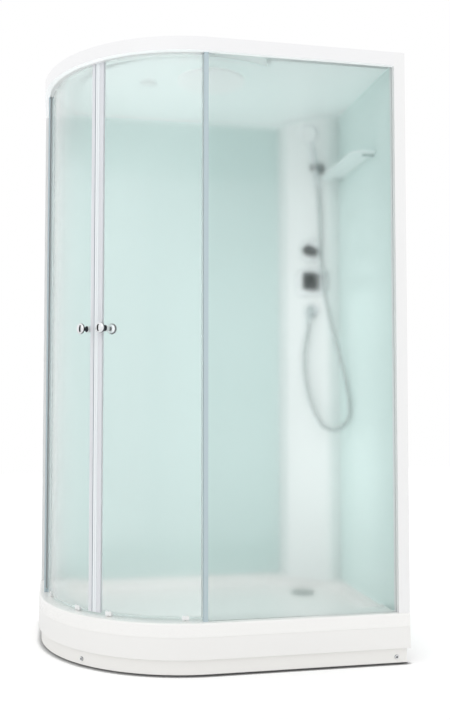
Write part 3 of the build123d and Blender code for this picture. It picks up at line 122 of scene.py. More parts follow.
# Shader group and node helpers shared by the finishes
surfaceSettings = {
    "cloudDetail": 2,
    "grainDetail": 4,
    "reliefDepth": 0.001,  # metres
    "leastRoughness": 0.01,
    # where the painted light on undersides begins and where it is full
    "paintedGlowStart": -0.2,  # upward share of the normal, below which an underside begins to glow
    "paintedGlowFull": -0.7,
}


def variationGroup():
    # a soft cloudy mask and a fine grain, both from the piece's own coordinates
    group = bpy.data.node_groups.new("surfaceVariation", "ShaderNodeTree")
    for socketName in ("Cloud Scale", "Grain Scale"):
        group.interface.new_socket(socketName, in_out="INPUT", socket_type="NodeSocketFloat")
    for socketName in ("Cloud", "Grain"):
        group.interface.new_socket(socketName, in_out="OUTPUT", socket_type="NodeSocketFloat")
    inside = group.nodes.new("NodeGroupInput")
    outside = group.nodes.new("NodeGroupOutput")
    place = group.nodes.new("ShaderNodeTexCoord")
    for inputName, outputName, detailName in (
        ("Cloud Scale", "Cloud", "cloudDetail"),
        ("Grain Scale", "Grain", "grainDetail"),
    ):
        noise = group.nodes.new("ShaderNodeTexNoise")
        noise.inputs["Detail"].default_value = surfaceSettings[detailName]
        group.links.new(place.outputs["Object"], noise.inputs["Vector"])
        group.links.new(inside.outputs[inputName], noise.inputs["Scale"])
        group.links.new(noise.outputs["Fac"], outside.inputs[outputName])
    return group


surfaceVariation = variationGroup()


def finish(
    name, colour, roughness, shade=0.96, cloudScale=3, grainScale=400, bump=0.02, spread=0.04, **sockets
):
    # one material: its colour goes down to colour * shade in clouds, its roughness varies by plus or minus
    # the spread in the grain, which also gives a fine bump
    material = bpy.data.materials.new(name)
    material.use_nodes = True
    tree = material.node_tree
    shader = tree.nodes["Principled BSDF"]
    variation = tree.nodes.new("ShaderNodeGroup")
    variation.node_tree = surfaceVariation
    variation.inputs["Cloud Scale"].default_value = cloudScale
    variation.inputs["Grain Scale"].default_value = grainScale
    mix = tree.nodes.new("ShaderNodeMix")
    mix.data_type = "RGBA"
    mix.inputs["A"].default_value = (colour[0] * shade, colour[1] * shade, colour[2] * shade, 1)
    mix.inputs["B"].default_value = colour
    tree.links.new(variation.outputs["Cloud"], mix.inputs["Factor"])
    tree.links.new(mix.outputs["Result"], shader.inputs["Base Color"])
    rough = tree.nodes.new("ShaderNodeMapRange")
    rough.inputs["To Min"].default_value = max(roughness - spread, surfaceSettings["leastRoughness"])
    rough.inputs["To Max"].default_value = roughness + spread
    tree.links.new(variation.outputs["Grain"], rough.inputs["Value"])
    tree.links.new(rough.outputs["Result"], shader.inputs["Roughness"])
    if bump:
        relief = tree.nodes.new("ShaderNodeBump")
        relief.inputs["Strength"].default_value = bump
        relief.inputs["Distance"].default_value = surfaceSettings["reliefDepth"]
        tree.links.new(variation.outputs["Grain"], relief.inputs["Height"])
        tree.links.new(relief.outputs["Normal"], shader.inputs["Normal"])
    for socketName, value in sockets.items():
        shader.inputs[socketName.replace("_", " ")].default_value = value
    return material


def shadowsPass(material, colour):
    # for shadow rays the piece is clear in the given colour, so lamp light reaches the inside
    tree = material.node_tree
    shader = tree.nodes["Principled BSDF"]
    output = tree.nodes["Material Output"]
    rays = tree.nodes.new("ShaderNodeLightPath")
    clear = tree.nodes.new("ShaderNodeBsdfTransparent")
    clear.inputs["Color"].default_value = colour
    choose = tree.nodes.new("ShaderNodeMixShader")
    tree.links.new(rays.outputs["Is Shadow Ray"], choose.inputs[0])
    tree.links.new(shader.outputs[0], choose.inputs[1])
    tree.links.new(clear.outputs[0], choose.inputs[2])
    tree.links.new(choose.outputs[0], output.inputs["Surface"])


def paintedGlowBelow(material, colour, strength):
    # painted light: a faint glow on faces that look down, so undersides the lamps don't reach look lit; its
    # share rises from 0 to 1 between two values of the normal's z
    tree = material.node_tree
    shader = tree.nodes["Principled BSDF"]
    coordinates = tree.nodes.new("ShaderNodeTexCoord")
    facing = tree.nodes.new("ShaderNodeSeparateXYZ")
    tree.links.new(coordinates.outputs["Normal"], facing.inputs[0])
    underside = tree.nodes.new("ShaderNodeMapRange")
    underside.inputs["From Min"].default_value = surfaceSettings["paintedGlowStart"]
    underside.inputs["From Max"].default_value = surfaceSettings["paintedGlowFull"]
    tree.links.new(facing.outputs["Z"], underside.inputs["Value"])
    glow = tree.nodes.new("ShaderNodeMix")
    glow.data_type = "RGBA"
    glow.inputs["A"].default_value = (0, 0, 0, 1)
    glow.inputs["B"].default_value = colour
    tree.links.new(underside.outputs["Result"], glow.inputs["Factor"])
    tree.links.new(glow.outputs["Result"], shader.inputs["Emission Color"])
    shader.inputs["Emission Strength"].default_value = strength


def mathNode(tree, operation, first, second):
    # the result of a sum with two values, each a number or another node's output
    node = tree.nodes.new("ShaderNodeMath")
    node.operation = operation
    for socket, value in zip(node.inputs, (first, second)):
        if isinstance(value, (int, float)):
            socket.default_value = value
        else:
            tree.links.new(value, socket)
    return node.outputs[0]


# Finishes: colour, roughness, shade, cloud scale, grain scale, bump and spread, then other sockets; an
# Emission_Strength among these is painted light, a faint glow on a piece that is no lamp
glossyWall = {"Coat_Weight": 1.0, "Coat_IOR": 1.8, "Coat_Roughness": 0.06}
finishes = {
    # painted light: a very faint glow over the tray
    "acrylic": finish(
        "whiteAcrylic", tint(251, 250, 248), 0.28, 0.985, bump=0.01, Coat_Weight=0.3, Emission_Strength=0.01,
    ),
    "apronWhite": finish("apronWhite", tint(247, 246, 244), 0.32, 0.985, bump=0.01, Coat_Weight=0.2),
    "plinthWhite": finish("plinthWhite", tint(245, 244, 241), 0.4, 0.98, bump=0.02),
    "railWhite": finish("railWhite", tint(246, 246, 247), 0.3, 0.985, bump=0.015, Coat_Weight=0.2),
    "profileWhite": finish("profileWhite", tint(246, 246, 246), 0.32, 0.99, bump=0.015),
    "postAlloy": finish("postAlloy", tint(190, 206, 212), 0.3, 0.96, bump=0.01, Metallic=0.3),
    "backMint": finish("backMint", tint(212, 232, 229), 0.3, 0.985, 1.5, 120, 0.005, **glossyWall),
    "sideMint": finish("sideMint", tint(236, 253, 250), 0.35, 0.985, 1.5, 120, 0.005, Coat_Weight=0.3),
    "columnWhite": finish("columnWhite", tint(252, 255, 254), 0.35, 0.99, 2, 120, 0.005, Coat_Weight=0.2),
    "roofWhite": finish("roofWhite", tint(244, 251, 250), 0.35, 0.985, 2, 120, 0.01),
    "chrome": finish("chrome", tint(214, 219, 220), 0.07, 0.95, 20, 300, 0, 0.02, Metallic=1.0),
    # painted light: the seal bulb glows faintly
    "sealBulb": finish("sealBulb", tint(240, 245, 248), 0.35, 0.98, 10, 500, 0.02, Emission_Strength=0.02),
    # painted dark reflection and painted shade: a darker chrome for the knobs' waist and rim, and the
    # screws' rim and recess
    "paintedDarkChrome": finish("paintedDarkChrome", tint(58, 62, 66), 0.12, 0.9, 20, 300, 0, 0.03, Metallic=1.0),
    "knobChrome": finish("knobChrome", tint(238, 240, 242), 0.04, 0.98, 20, 300, 0, 0.01, Metallic=1.0),
    # painted light: the track and hangers glow so they don't sit in shade under the rail
    "trackWhite": finish("trackWhite", tint(238, 247, 245), 0.5, 0.99, 8, 600, 0.01, Emission_Strength=0.12),
    # painted light: the rain shower's disc glows so its underside isn't in shade
    "rainWhite": finish(
        "rainWhite", tint(248, 252, 251), 0.4, 0.99, 20, 300, 0, 0.03, Emission_Strength=0.12,
    ),
    "brightChrome": finish("brightChrome", tint(236, 240, 240), 0.2, 0.97, 20, 300, 0, 0.03, Metallic=0.8),
    "holderGrey": finish("holderGrey", tint(132, 140, 140), 0.2, 0.94, 20, 300, 0, 0.03, Metallic=1.0),
    "darkChrome": finish("darkChrome", tint(44, 52, 52), 0.2, 0.9, 20, 300, 0, 0.03, Metallic=1.0),
    "drainChrome": finish("drainChrome", tint(176, 186, 184), 0.22, 0.94, 20, 300, 0, 0.03, Metallic=1.0),
    "steel": finish("zincSteel", tint(170, 172, 174), 0.35, 0.9, 30, 500, 0.02, 0.05, Metallic=1.0),
    "brass": finish("plainBrass", tint(196, 166, 104), 0.3, 0.9, 30, 500, 0.02, 0.05, Metallic=1.0),
    "plastic": finish("whitePlastic", tint(246, 247, 247), 0.42, 0.98, 8, 600, 0.03),
    "washer": finish("softWasher", tint(226, 230, 230), 0.5, 0.96, 20, 600, 0.03),
    "sprayFace": finish("sprayFace", tint(244, 249, 248), 0.35, 0.97, 20, 600, 0.02),
    "lampLens": finish("opalLens", tint(250, 252, 251), 0.4, 0.98, 20, 300, 0.01),
    # painted light: the shelf glows faintly
    "shelfWhite": finish(
        "shelfWhite", tint(238, 248, 247), 0.2, 0.98, 6, 300, 0.005, Coat_Weight=0.3, Emission_Strength=0.07,
    ),
    "bracketPale": finish("bracketPale", tint(200, 212, 211), 0.25, 0.96, 20, 300, 0, 0.03, Metallic=0.5),
    "frosted": finish(
        "frostedGlass", tint(251, 254, 254), 0.17, 0.995, 4, 900, 0, 0.01, Transmission_Weight=1.0, IOR=1.3,
    ),
    # painted light: the door panes glow faintly, which lightens the view through them
    "doorGlass": finish(
        "doorGlass", tint(253, 255, 255), 0.27, 0.995, 4, 900, 0, 0.01, Transmission_Weight=1.0, IOR=1.15,
        Emission_Strength=0.04,
    ),
    "seal": finish(
        "sealClear", tint(247, 249, 253), 0.3, 0.97, 10, 500, 0.02, Transmission_Weight=0.25, IOR=1.3,
    ),
    "fin": finish(
        "finClear", tint(244, 250, 250), 0.3, 0.98, 10, 500, 0.02, Transmission_Weight=0.7, IOR=1.2,
    ),
    # painted shade: a grey for the seals' grooves
    "sealPaintedShade": finish("sealPaintedShade", tint(150, 162, 172), 0.4, 0.94, 10, 500, 0.02),
    "hoseMetal": finish("hoseMetal", tint(192, 200, 199), 0.25, 0.94, 60, 900, 0.02, 0.05, Metallic=0.7),
}
# Painted light: the undersides of the roof and the rail glow faintly, where they would otherwise be in shade
paintedGlowBelow(finishes["roofWhite"], tint(244, 255, 253), 0.13)
paintedGlowBelow(finishes["railWhite"], tint(250, 253, 253), 0.3)

# The colour of lamp light past each clear piece, and through the thin acrylic of the roof
lightThrough = {
    "frosted": tint(252, 254, 254),
    "doorGlass": tint(252, 254, 254),
    "seal": tint(240, 244, 244),
    "fin": tint(248, 252, 252),
    "roofWhite": tint(205, 210, 209),
}
for finishName, colour in lightThrough.items():
    shadowsPass(finishes[finishName], colour)
print("finishes made")

# Which finish each node has
finishOf = {
    "acrylic": ["tray"],
    "apronWhite": ["apron"],
    "plinthWhite": ["plinth"],
    "railWhite": ["top_rail"],
    "profileWhite": ["side_profile", "corner_profile", "base_frame"],
    "postAlloy": ["post_left", "post_right"],
    "backMint": ["back_panel"],
    "sideMint": ["side_panel"],
    "columnWhite": ["column"],
    "roofWhite": ["roof"],
    "frosted": ["front_glass", "side_glass"],
    "doorGlass": ["door_left", "door_right"],
    "seal": ["door_seal_left", "door_seal_right"],
    "fin": ["post_seals"],
    "plastic": [
        "guides_left", "guides_right", "roller_left_front", "roller_left_rear", "roller_right_front",
        "roller_right_rear", "drain_trap", "foot_pads", "roof_lamp",
    ],
    "trackWhite": ["roller_track", "hangers_left", "hangers_right"],
    "chrome": ["mixer_spindle", "hose_outlet", "hand_shower", "rain_arm"],
    "holderGrey": ["holder_bracket", "holder_fork"],
    "knobChrome": ["knob_left", "knob_right", "plinth_screws"],
    "rainWhite": ["rain_shower"],
    "brightChrome": ["mixer_plate", "diverter_rose"],
    "darkChrome": ["mixer_handle", "diverter_knob"],
    "bracketPale": ["shelf_brackets"],
    "drainChrome": ["drain_cover"],
    "steel": ["foot_nuts", "foot_studs", "panel_screws"],
    "brass": ["mixer_body", "diverter_body", "supply_pipes"],
    "washer": ["knob_washers_left", "knob_washers_right"],
    "sprayFace": ["spray_face"],
    "lampLens": ["lamp_lens"],
    "shelfWhite": ["shelf"],
}
materialOf = {}
for finishName, members in finishOf.items():
    for member in members:
        materialOf[member] = finishes[finishName]


# Pieces with curved faces get merged, smooth-shaded skins
smoothSettings = {
    "angle": 32,  # degrees, sharper edges stay crisp
    "mergeDistance": 0.00001,  # metres
    "flatWeight": 100,  # how far large flat faces outweigh their rounded edges
}
smoothNodes = [
    "tray", "apron", "plinth", "top_rail", "roof", "column",
    "guides_left", "guides_right", "drain_cover", "mixer_plate", "mixer_handle", "diverter_rose",
    "diverter_knob", "hose_outlet", "holder_bracket", "holder_fork", "hand_shower", "spray_face", "rain_arm",
    "rain_shower", "shelf", "shelf_brackets", "roof_lamp", "lamp_lens",
]


def dress(skin, nodeName):
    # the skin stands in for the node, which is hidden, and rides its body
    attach(skin, bodyOf[nodeName])
    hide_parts(nodeName)


def smoothSkin(nodeName):
    # a merged copy of the node's mesh with its normals weighted by the size of the faces
    mesh = nodes[nodeName].data.copy()
    mesh.name = nodeName + "_skin"
    work = bmesh.new()
    work.from_mesh(mesh)
    bmesh.ops.remove_doubles(work, verts=work.verts, dist=smoothSettings["mergeDistance"])
    work.to_mesh(mesh)
    work.free()
    mesh.materials.clear()
    mesh.materials.append(materialOf[nodeName])
    mesh.shade_smooth()
    mesh.set_sharp_from_angle(angle=math.radians(smoothSettings["angle"]))
    skin = placed(nodeName + "_skin", mesh)
    level = skin.modifiers.new("flatFaces", "WEIGHTED_NORMAL")
    level.keep_sharp = True
    level.weight = smoothSettings["flatWeight"]
    dress(skin, nodeName)


for nodeName, material in materialOf.items():
    nodes[nodeName].data.materials.clear()
    nodes[nodeName].data.materials.append(material)
for nodeName in smoothNodes:
    smoothSkin(nodeName)
print("smooth skins made:", len(smoothNodes))


# Plan of the open sides, in metres and degrees from the front face to the left
curve = {"centre": (-0.06, 0.14), "glassOuter": 0.503, "glassInner": 0.498, "seam": 45}
sideSettings = {
    "halfWidth": 0.6,
    "halfDepth": 0.4,
    "radius": 0.54,
    "endGap": 0.001,  # before the wall panels
    "arcSteps": 64,
}
prismSharp = 40  # degrees, the least edge that stays crisp on panes, seals and caps


def onCurve(angle, radius):
    # places in plan at angles in radians: centre - radius * (sin(angle), cos(angle))
    return np.array(curve["centre"]) - np.stack([radius * np.sin(angle), radius * np.cos(angle)], -1)


def outwardsAt(degrees):
    # a level direction away from the curve's centre
    angle = math.radians(degrees)
    return np.array([-math.sin(angle), -math.cos(angle), 0])


def upright(outline, low, high):
    # a plan outline at two levels, as two rows of points
    return np.stack([np.column_stack([outline, np.full(len(outline), level)]) for level in (low, high)])


def prism(name, rows, materials, faceMaterial=None):
    # a closed shape: quads between two rows of the same outline, and a face on each row
    count = rows.shape[1]
    faces = gridFaces(2, count) + [list(range(count - 1, -1, -1)), list(range(count, 2 * count))]
    piece = meshFrom(name, rows.reshape(-1, 3), faces, materials)
    if faceMaterial is not None:
        piece.data.polygons.foreach_set("material_index", np.append(faceMaterial, [0, 0]).astype(np.int32))
    turnOutwards(piece.data, prismSharp)
    return piece


def arcOutline(start, end, outer, inner, steps):
    # a strip of a ring between two angles in degrees: out along one radius and back along the other
    angle = np.radians(np.linspace(start, end, steps))
    return np.concatenate([onCurve(angle, outer), onCurve(angle[::-1], inner)])


# Door panes with a finer bend than the solids have
paneSettings = {
    "steps": 72,
    "low": 0.17,  # levels of the panes and their seals, metres
    "high": 1.996,
    "glassLap": 0.014,  # from each pane's edge to the seam
    "rightEdge": 1.4,  # degrees
    "leftEdge": 90.6,
    "gapAngle": 0.05,
}
lapAngle = math.degrees(paneSettings["glassLap"] / curve["glassOuter"]) + paneSettings["gapAngle"]
for nodeName, start, end in (
    ("door_right", paneSettings["rightEdge"], curve["seam"] - lapAngle),
    ("door_left", curve["seam"] + lapAngle, paneSettings["leftEdge"]),
):
    outline = arcOutline(start, end, curve["glassOuter"], curve["glassInner"], paneSettings["steps"])
    rows = upright(outline, paneSettings["low"], paneSettings["high"])
    dress(prism(nodeName + "_skin", rows, [finishes["doorGlass"]]), nodeName)

# Dust lip: a soft strip that closes the gap between the rail and the moving glass
lipSettings = {
    "inner": 0.5034,
    "outer": 0.5185,
    "low": 1.9852,
    "high": 1.9867,
    "start": -1.5,  # degrees
    "end": 91.5,
    "steps": 72,
}
lip = lipSettings
lipOutline = arcOutline(lip["start"], lip["end"], lip["outer"], lip["inner"], lip["steps"])
dustLip = prism("dust_lip", upright(lipOutline, lip["low"], lip["high"]), [finishes["plastic"]])
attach(dustLip, "cabin")

# Door seals: a channel over the glass, a groove and a round bulb along the meeting edge
sealSettings = {
    "width": 0.026,
    "bulb": 0.0085,  # width of the bulb from the meeting edge
    "crown": 0.0011,  # rise of the bulb, and size of the rounded corners
    "groove": 0.0012,
    "grooveDepth": 0.0022,
    "glassEdge": 0.0139,  # from the seam to the pane
    "outer": 0.506,
    "inner": 0.495,
    "fit": 0.00005,
    "seamGap": 0.0004,
    "bulbSteps": 9,
}


def sealOutline(side):
    # bulb radius = outer - crown + crown * sqrt(1 - u * u), with u from 1 to -1 across the bulb
    seal = sealSettings
    crown = seal["crown"]
    grooveEdge = seal["bulb"] + seal["groove"]
    grooveFloor = seal["outer"] - seal["grooveDepth"]
    glassBack = curve["glassInner"] - seal["fit"]
    glassFront = curve["glassOuter"] + seal["fit"]
    u = np.linspace(1, -1, seal["bulbSteps"])
    bulbAcross = seal["seamGap"] + (seal["bulb"] - seal["seamGap"]) * (1 + u) / 2
    bulbRadius = seal["outer"] - crown + crown * np.sqrt(np.clip(1 - u * u, 0, 1))
    flat = [(seal["width"], seal["outer"] - crown), (seal["width"] - crown, seal["outer"])]
    groove = [(grooveEdge, seal["outer"]), (grooveEdge, grooveFloor), (seal["bulb"], grooveFloor)]
    channel = [
        (seal["seamGap"], seal["inner"] + crown), (seal["seamGap"] + crown, seal["inner"]),
        (seal["width"], seal["inner"]), (seal["width"], glassBack), (seal["glassEdge"], glassBack),
        (seal["glassEdge"], glassFront), (seal["width"], glassFront),
    ]
    across, radius = np.concatenate([flat, groove, np.stack([bulbAcross, bulbRadius], -1), channel]).T
    # face materials: 0 channel, 1 groove in painted shade, 2 bulb, whose last point begins the channel
    faceMaterial = np.repeat([0, 1, 2, 0], [len(flat), len(groove), len(u) - 1, len(channel) + 1])
    return onCurve(math.radians(curve["seam"]) + side * across / curve["glassOuter"], radius), faceMaterial


sealMaterials = [finishes["seal"], finishes["sealPaintedShade"], finishes["sealBulb"]]
for nodeName, side in (("door_seal_left", 1), ("door_seal_right", -1)):
    outline, faceMaterial = sealOutline(side)
    rows = upright(outline, paneSettings["low"], paneSettings["high"])
    dress(prism(nodeName + "_skin", rows, sealMaterials, faceMaterial), nodeName)
print("door panes, dust lip and door seals made")


# Knobs: the turned outline of the solids with a rounder head, a smooth waist and a broad foot
knobSettings = {
    "level": 1.094,
    "angles": {"knob_right": 40.6, "knob_left": 49.8},  # degrees on the curve
    "feet": (0.504, 0.4969),  # where the outer and the inner half stand, from the curve's centre
    "outline": [  # radius and height over the foot
        (0.011, 0), (0.011, 0.0026), (0.0102, 0.0036), (0.0078, 0.0062), (0.0066, 0.0098),
        (0.0064, 0.0138), (0.0078, 0.0182), (0.0112, 0.0218), (0.0152, 0.0246), (0.0174, 0.0268),
        (0.018, 0.0286), (0.018, 0.0298), (0.0174, 0.0314), (0.0158, 0.0332), (0.0132, 0.0346),
        (0.0096, 0.0357), (0.005, 0.0364), (0, 0.0366),
    ],
    # the darker chrome on these rows is a painted dark reflection
    "paintedDarkBands": [(2, 6), (8, 12)],  # rows of the outline in shaded chrome: the waist and the rim
    "steps": 48,
}
turnedSettings = {
    "tip": 0.00001,  # radius left at the middle, metres
    "sharp": 50,  # degrees, the least edge that stays crisp
}


def turned(settings, foot, outwards):
    # points = foot + outwards * height + radius * (cos(a) * side + sin(a) * up)
    steps = settings["steps"]
    up = np.array([0, 0, 1.0])
    side = np.cross(up, outwards)
    angle = np.linspace(0, 2 * math.pi, steps, endpoint=False)
    ring = np.cos(angle)[:, None] * side + np.sin(angle)[:, None] * up
    radius, height = np.array(settings["outline"]).T
    radius = np.maximum(radius, turnedSettings["tip"])
    points = foot + outwards * height[:, None, None] + radius[:, None, None] * ring
    faces = gridFaces(len(height), steps)
    piece = meshFrom("turned", points.reshape(-1, 3), faces, [finishes["knobChrome"], finishes["paintedDarkChrome"]])
    # faces in the listed bands take the darker chrome: painted dark reflection, and painted shade in
    # recesses
    row = np.arange(len(faces)) // steps
    dark = np.zeros(len(row), dtype=np.int32)
    for first, last in settings["paintedDarkBands"]:
        dark[(row >= first) & (row < last)] = 1
    piece.data.polygons.foreach_set("material_index", dark)
    return piece


def joinMeshes(name, pieces):
    # one closed piece from several
    work = bmesh.new()
    for piece in pieces:
        work.from_mesh(piece.data)
    mesh = bpy.data.meshes.new(name)
    work.to_mesh(mesh)
    work.free()
    for material in pieces[0].data.materials:
        mesh.materials.append(material)
    for piece in pieces:
        bpy.data.objects.remove(piece)
    turnOutwards(mesh, turnedSettings["sharp"], openEnds=True)
    return placed(name, mesh)


for nodeName, degrees in knobSettings["angles"].items():
    outwards = outwardsAt(degrees)
    centre = np.array([*curve["centre"], knobSettings["level"]])
    halves = [
        turned(knobSettings, centre + outwards * reach, direction)
        for reach, direction in zip(knobSettings["feet"], (outwards, -outwards))
    ]
    dress(joinMeshes(nodeName + "_skin", halves), nodeName)

# Plinth screws: round caps with a rolled edge and a driver recess
screwSettings = {
    "level": 0.02,
    "inset": 0.01,  # of the plinth's face from the outline
    "curveAngle": 48.3,  # degrees
    "frontX": 0.555,
    "sideY": 0.33,
    "outline": [  # radius and height over the foot
        (0.007, 0), (0.007, 0.0012), (0.0064, 0.0022), (0.0054, 0.0029), (0.0032, 0.003), (0.0026, 0.0029),
        (0.0025, 0.0012), (0, 0.001),
    ],
    # painted dark reflection on the rim and painted shade in the recess
    "paintedDarkBands": [(0, 2), (4, 7)],  # the rim and the recess
    "steps": 32,
}


def onPlinth():
    # foot and outward direction of each screw: on the curve, on the front and on the left side
    screws = screwSettings
    outwards = outwardsAt(screws["curveAngle"])
    centre = np.array([*curve["centre"], screws["level"]])
    bend = centre + outwards * (sideSettings["radius"] - screws["inset"])
    front = np.array([screws["frontX"], screws["inset"] - sideSettings["halfDepth"], screws["level"]])
    side = np.array([screws["inset"] - sideSettings["halfWidth"], screws["sideY"], screws["level"]])
    return [(bend, outwards), (front, np.array([0, -1.0, 0])), (side, np.array([-1.0, 0, 0]))]


screwCaps = [turned(screwSettings, foot, outwards) for foot, outwards in onPlinth()]
dress(joinMeshes("plinth_screws_skin", screwCaps), "plinth_screws")

# Caps with two humps on the outer face of each door guide
humpSettings = {
    "halfWidth": 0.0118,
    "low": 0.1664,
    "waist": 0.1742,
    "rise": 0.0052,
    "hump": 0.0056,  # half the width of one hump
    "outer": 0.5056,
    "inner": 0.5031,
    "angles": {"door_right": (8.8, 38.4), "door_left": (54.3, 81.2)},  # degrees
    "steps": 25,
}


def humpCap(name, degrees):
    # top = waist + rise * sqrt(1 - u * u), u being the distance from the middle of the nearer hump
    hump = humpSettings
    across = np.linspace(-hump["halfWidth"], hump["halfWidth"], hump["steps"])
    u = (np.abs(across) - hump["halfWidth"] + hump["hump"]) / hump["hump"]
    top = hump["waist"] + hump["rise"] * np.sqrt(np.clip(1 - u * u, 0, 1))
    level = np.append(top, [hump["low"], hump["low"]])
    across = np.append(across, [hump["halfWidth"], -hump["halfWidth"]])
    angle = math.radians(degrees) + across / curve["glassOuter"]
    rows = [np.column_stack([onCurve(angle, radius), level]) for radius in (hump["outer"], hump["inner"])]
    return prism(name, np.stack(rows), [finishes["plastic"]])


for bodyName, places in humpSettings["angles"].items():
    for number, degrees in enumerate(places):
        cap = humpCap("guide_cap_" + bodyName + "_" + str(number + 1), degrees)
        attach(cap, bodyName)

# Seam bead: a soft white filler between the tray and its apron, just behind their faces
beadSettings = {
    "level": 0.1184,
    "halfHeight": 0.00062,
    "face": 0.00025,  # inset of the rounded nose from the tray's outline
    "back": 0.0022,
    "roundSteps": 7,
    "sharp": 50,  # degrees
}


def openSides(inset):
    # for each inset a line in plan along the front, round the curve and along the left side
    sides = sideSettings
    angle = np.radians(np.linspace(0, 90, sides["arcSteps"]))
    bend = onCurve(angle[:, None], sides["radius"] - inset)
    frontEnd = np.full_like(inset, sides["halfWidth"] - sides["endGap"])
    leftEnd = np.full_like(inset, sides["halfDepth"] - sides["endGap"])
    start = np.stack([frontEnd, inset - sides["halfDepth"]], -1)
    end = np.stack([inset - sides["halfWidth"], leftEnd], -1)
    return np.concatenate([start[None], bend, end[None]])


def beadSection():
    # inset = face + r * (1 - cos(a)) and level = middle + r * sin(a) round the nose, then square at the back
    bead = beadSettings
    nose = np.linspace(-math.pi / 2, math.pi / 2, bead["roundSteps"])
    inset = np.append(bead["face"] + bead["halfHeight"] * (1 - np.cos(nose)), [bead["back"], bead["back"]])
    return inset, bead["level"] + bead["halfHeight"] * np.append(np.sin(nose), [1, -1])


def alongOpenSides(name, section, material):
    # a closed section of insets and levels carried along the open sides
    inset, level = section
    plan = openSides(inset)
    points = np.dstack([plan, np.broadcast_to(level, plan.shape[:2])]).reshape(-1, 3)
    piece = meshFrom(name, points, gridFaces(len(plan), len(inset)), [material])
    turnOutwards(piece.data, beadSettings["sharp"], openEnds=True)
    return piece


seamBead = alongOpenSides("seam_bead", beadSection(), finishes["acrylic"])
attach(seamBead, "cabin")
print("knobs, guide caps and seam bead made")


# Shower hose: a metal hose with a close spiral of ribs
columnFrame = {
    "start": (0.366, 0.386),  # where the column meets the back panel, metres
    "end": (0.568, 0.205),  # where it meets the side panel
    "rise": 0.05,  # of the column's face from the line between them
}
hoseSettings = {
    "radius": 0.007,
    "ribDepth": 0.0007,
    "ribPitch": 0.0031,
    "sides": 20,
    "samplesPerRib": 4,
    "order": 3,  # of the spline
    "resolution": 12,
    "sharp": 60,  # degrees
    "holder": (0.076, 0.046, 1.787),  # across the column, out from it and level
    "lean": 20,  # degrees
    "handleFoot": -0.034,  # where the hose leaves the handle, along it from the holder
    "lead": 0.045,  # straight on from the handle
    "outletTip": (0.038, 0.03, 1.214),
    "outletDrop": 0.028,
    "tail": 0.046,  # straight up into the outlet
    "route": [  # across, out and level
        (0.082, 0.019, 1.622),
        (0.089, 0.024, 1.465),
        (0.104, 0.031, 1.3),
        (0.141, 0.042, 1.15),
        (0.177, 0.051, 1.05),
        (0.203, 0.058, 0.958),
        (0.222, 0.063, 0.868),
        (0.229, 0.07, 0.786),
        (0.181, 0.062, 0.74),
        (0.11, 0.047, 0.746),
        (0.063, 0.036, 0.812),
        (0.028, 0.03, 0.905),
        (0.014, 0.026, 1.004),
        (0.022, 0.028, 1.084),
    ],
}
columnStart = Vector((*columnFrame["start"], 0))
columnChord = Vector((*columnFrame["end"], 0)) - columnStart
columnAlong = columnChord.normalized()
columnOut = Vector((columnAlong.y, -columnAlong.x, 0))


def onColumn(across, out, level):
    # place = start + along * (half the chord + across) + outwards * (rise + out) + up * level
    alongChord = columnAlong * (columnChord.length / 2 + across)
    return columnStart + alongChord + columnOut * (columnFrame["rise"] + out) + Vector((0, 0, level))


lean = math.radians(hoseSettings["lean"])
showerUp = columnOut * math.sin(lean) + Vector((0, 0, math.cos(lean)))
hoseStart = onColumn(*hoseSettings["holder"]) + showerUp * hoseSettings["handleFoot"]
hoseFoot = onColumn(*hoseSettings["outletTip"]) - Vector((0, 0, hoseSettings["outletDrop"]))
hosePoints = [hoseStart, hoseStart - showerUp * hoseSettings["lead"]]
hosePoints += [onColumn(*point) for point in hoseSettings["route"]]
hosePoints += [hoseFoot - Vector((0, 0, hoseSettings["tail"])), hoseFoot]


def splineLine(name, points):
    # the smooth line of a NURBS spline through the route's control points
    lineData = bpy.data.curves.new(name, "CURVE")
    lineData.dimensions = "3D"
    spline = lineData.splines.new("NURBS")
    spline.points.add(len(points) - 1)
    for target, point in zip(spline.points, points):
        target.co = (*point, 1)
    spline.order_u = hoseSettings["order"]
    spline.use_endpoint_u = True
    spline.resolution_u = hoseSettings["resolution"]
    holder = bpy.data.objects.new(name, lineData)
    line = bpy.data.meshes.new_from_object(holder)
    coordinates = np.empty(len(line.vertices) * 3)
    line.vertices.foreach_get("co", coordinates)
    bpy.data.objects.remove(holder)
    return coordinates.reshape(-1, 3)


def tubeAlong(name, line, along, radius, material):
    # points = centre + radius * (cos(a) * side + sin(a) * up), the centre from the line at each distance,
    # with a radius for each ring and angle, and both ends closed
    steps = np.linalg.norm(np.diff(line, axis=0), axis=1)
    distance = np.concatenate([[0], np.cumsum(steps)])
    centre = np.stack([np.interp(along, distance, line[:, axis]) for axis in range(3)], -1)
    ahead = np.gradient(centre, axis=0)
    ahead /= np.linalg.norm(ahead, axis=1)[:, None]
    side = np.cross(ahead, np.array(columnOut))
    side /= np.linalg.norm(side, axis=1)[:, None]
    up = np.cross(side, ahead)
    angle = np.linspace(0, 2 * math.pi, radius.shape[1], endpoint=False)
    ring = np.cos(angle)[None, :, None] * side[:, None, :] + np.sin(angle)[None, :, None] * up[:, None, :]
    points = (centre[:, None, :] + radius[..., None] * ring).reshape(-1, 3)
    tube = meshFrom(name, points, gridFaces(*radius.shape), [material])
    turnOutwards(tube.data, hoseSettings["sharp"], openEnds=True)
    return tube


def lineLength(line):
    # the sum of the distances between neighbouring points
    return float(np.linalg.norm(np.diff(line, axis=0), axis=1).sum())


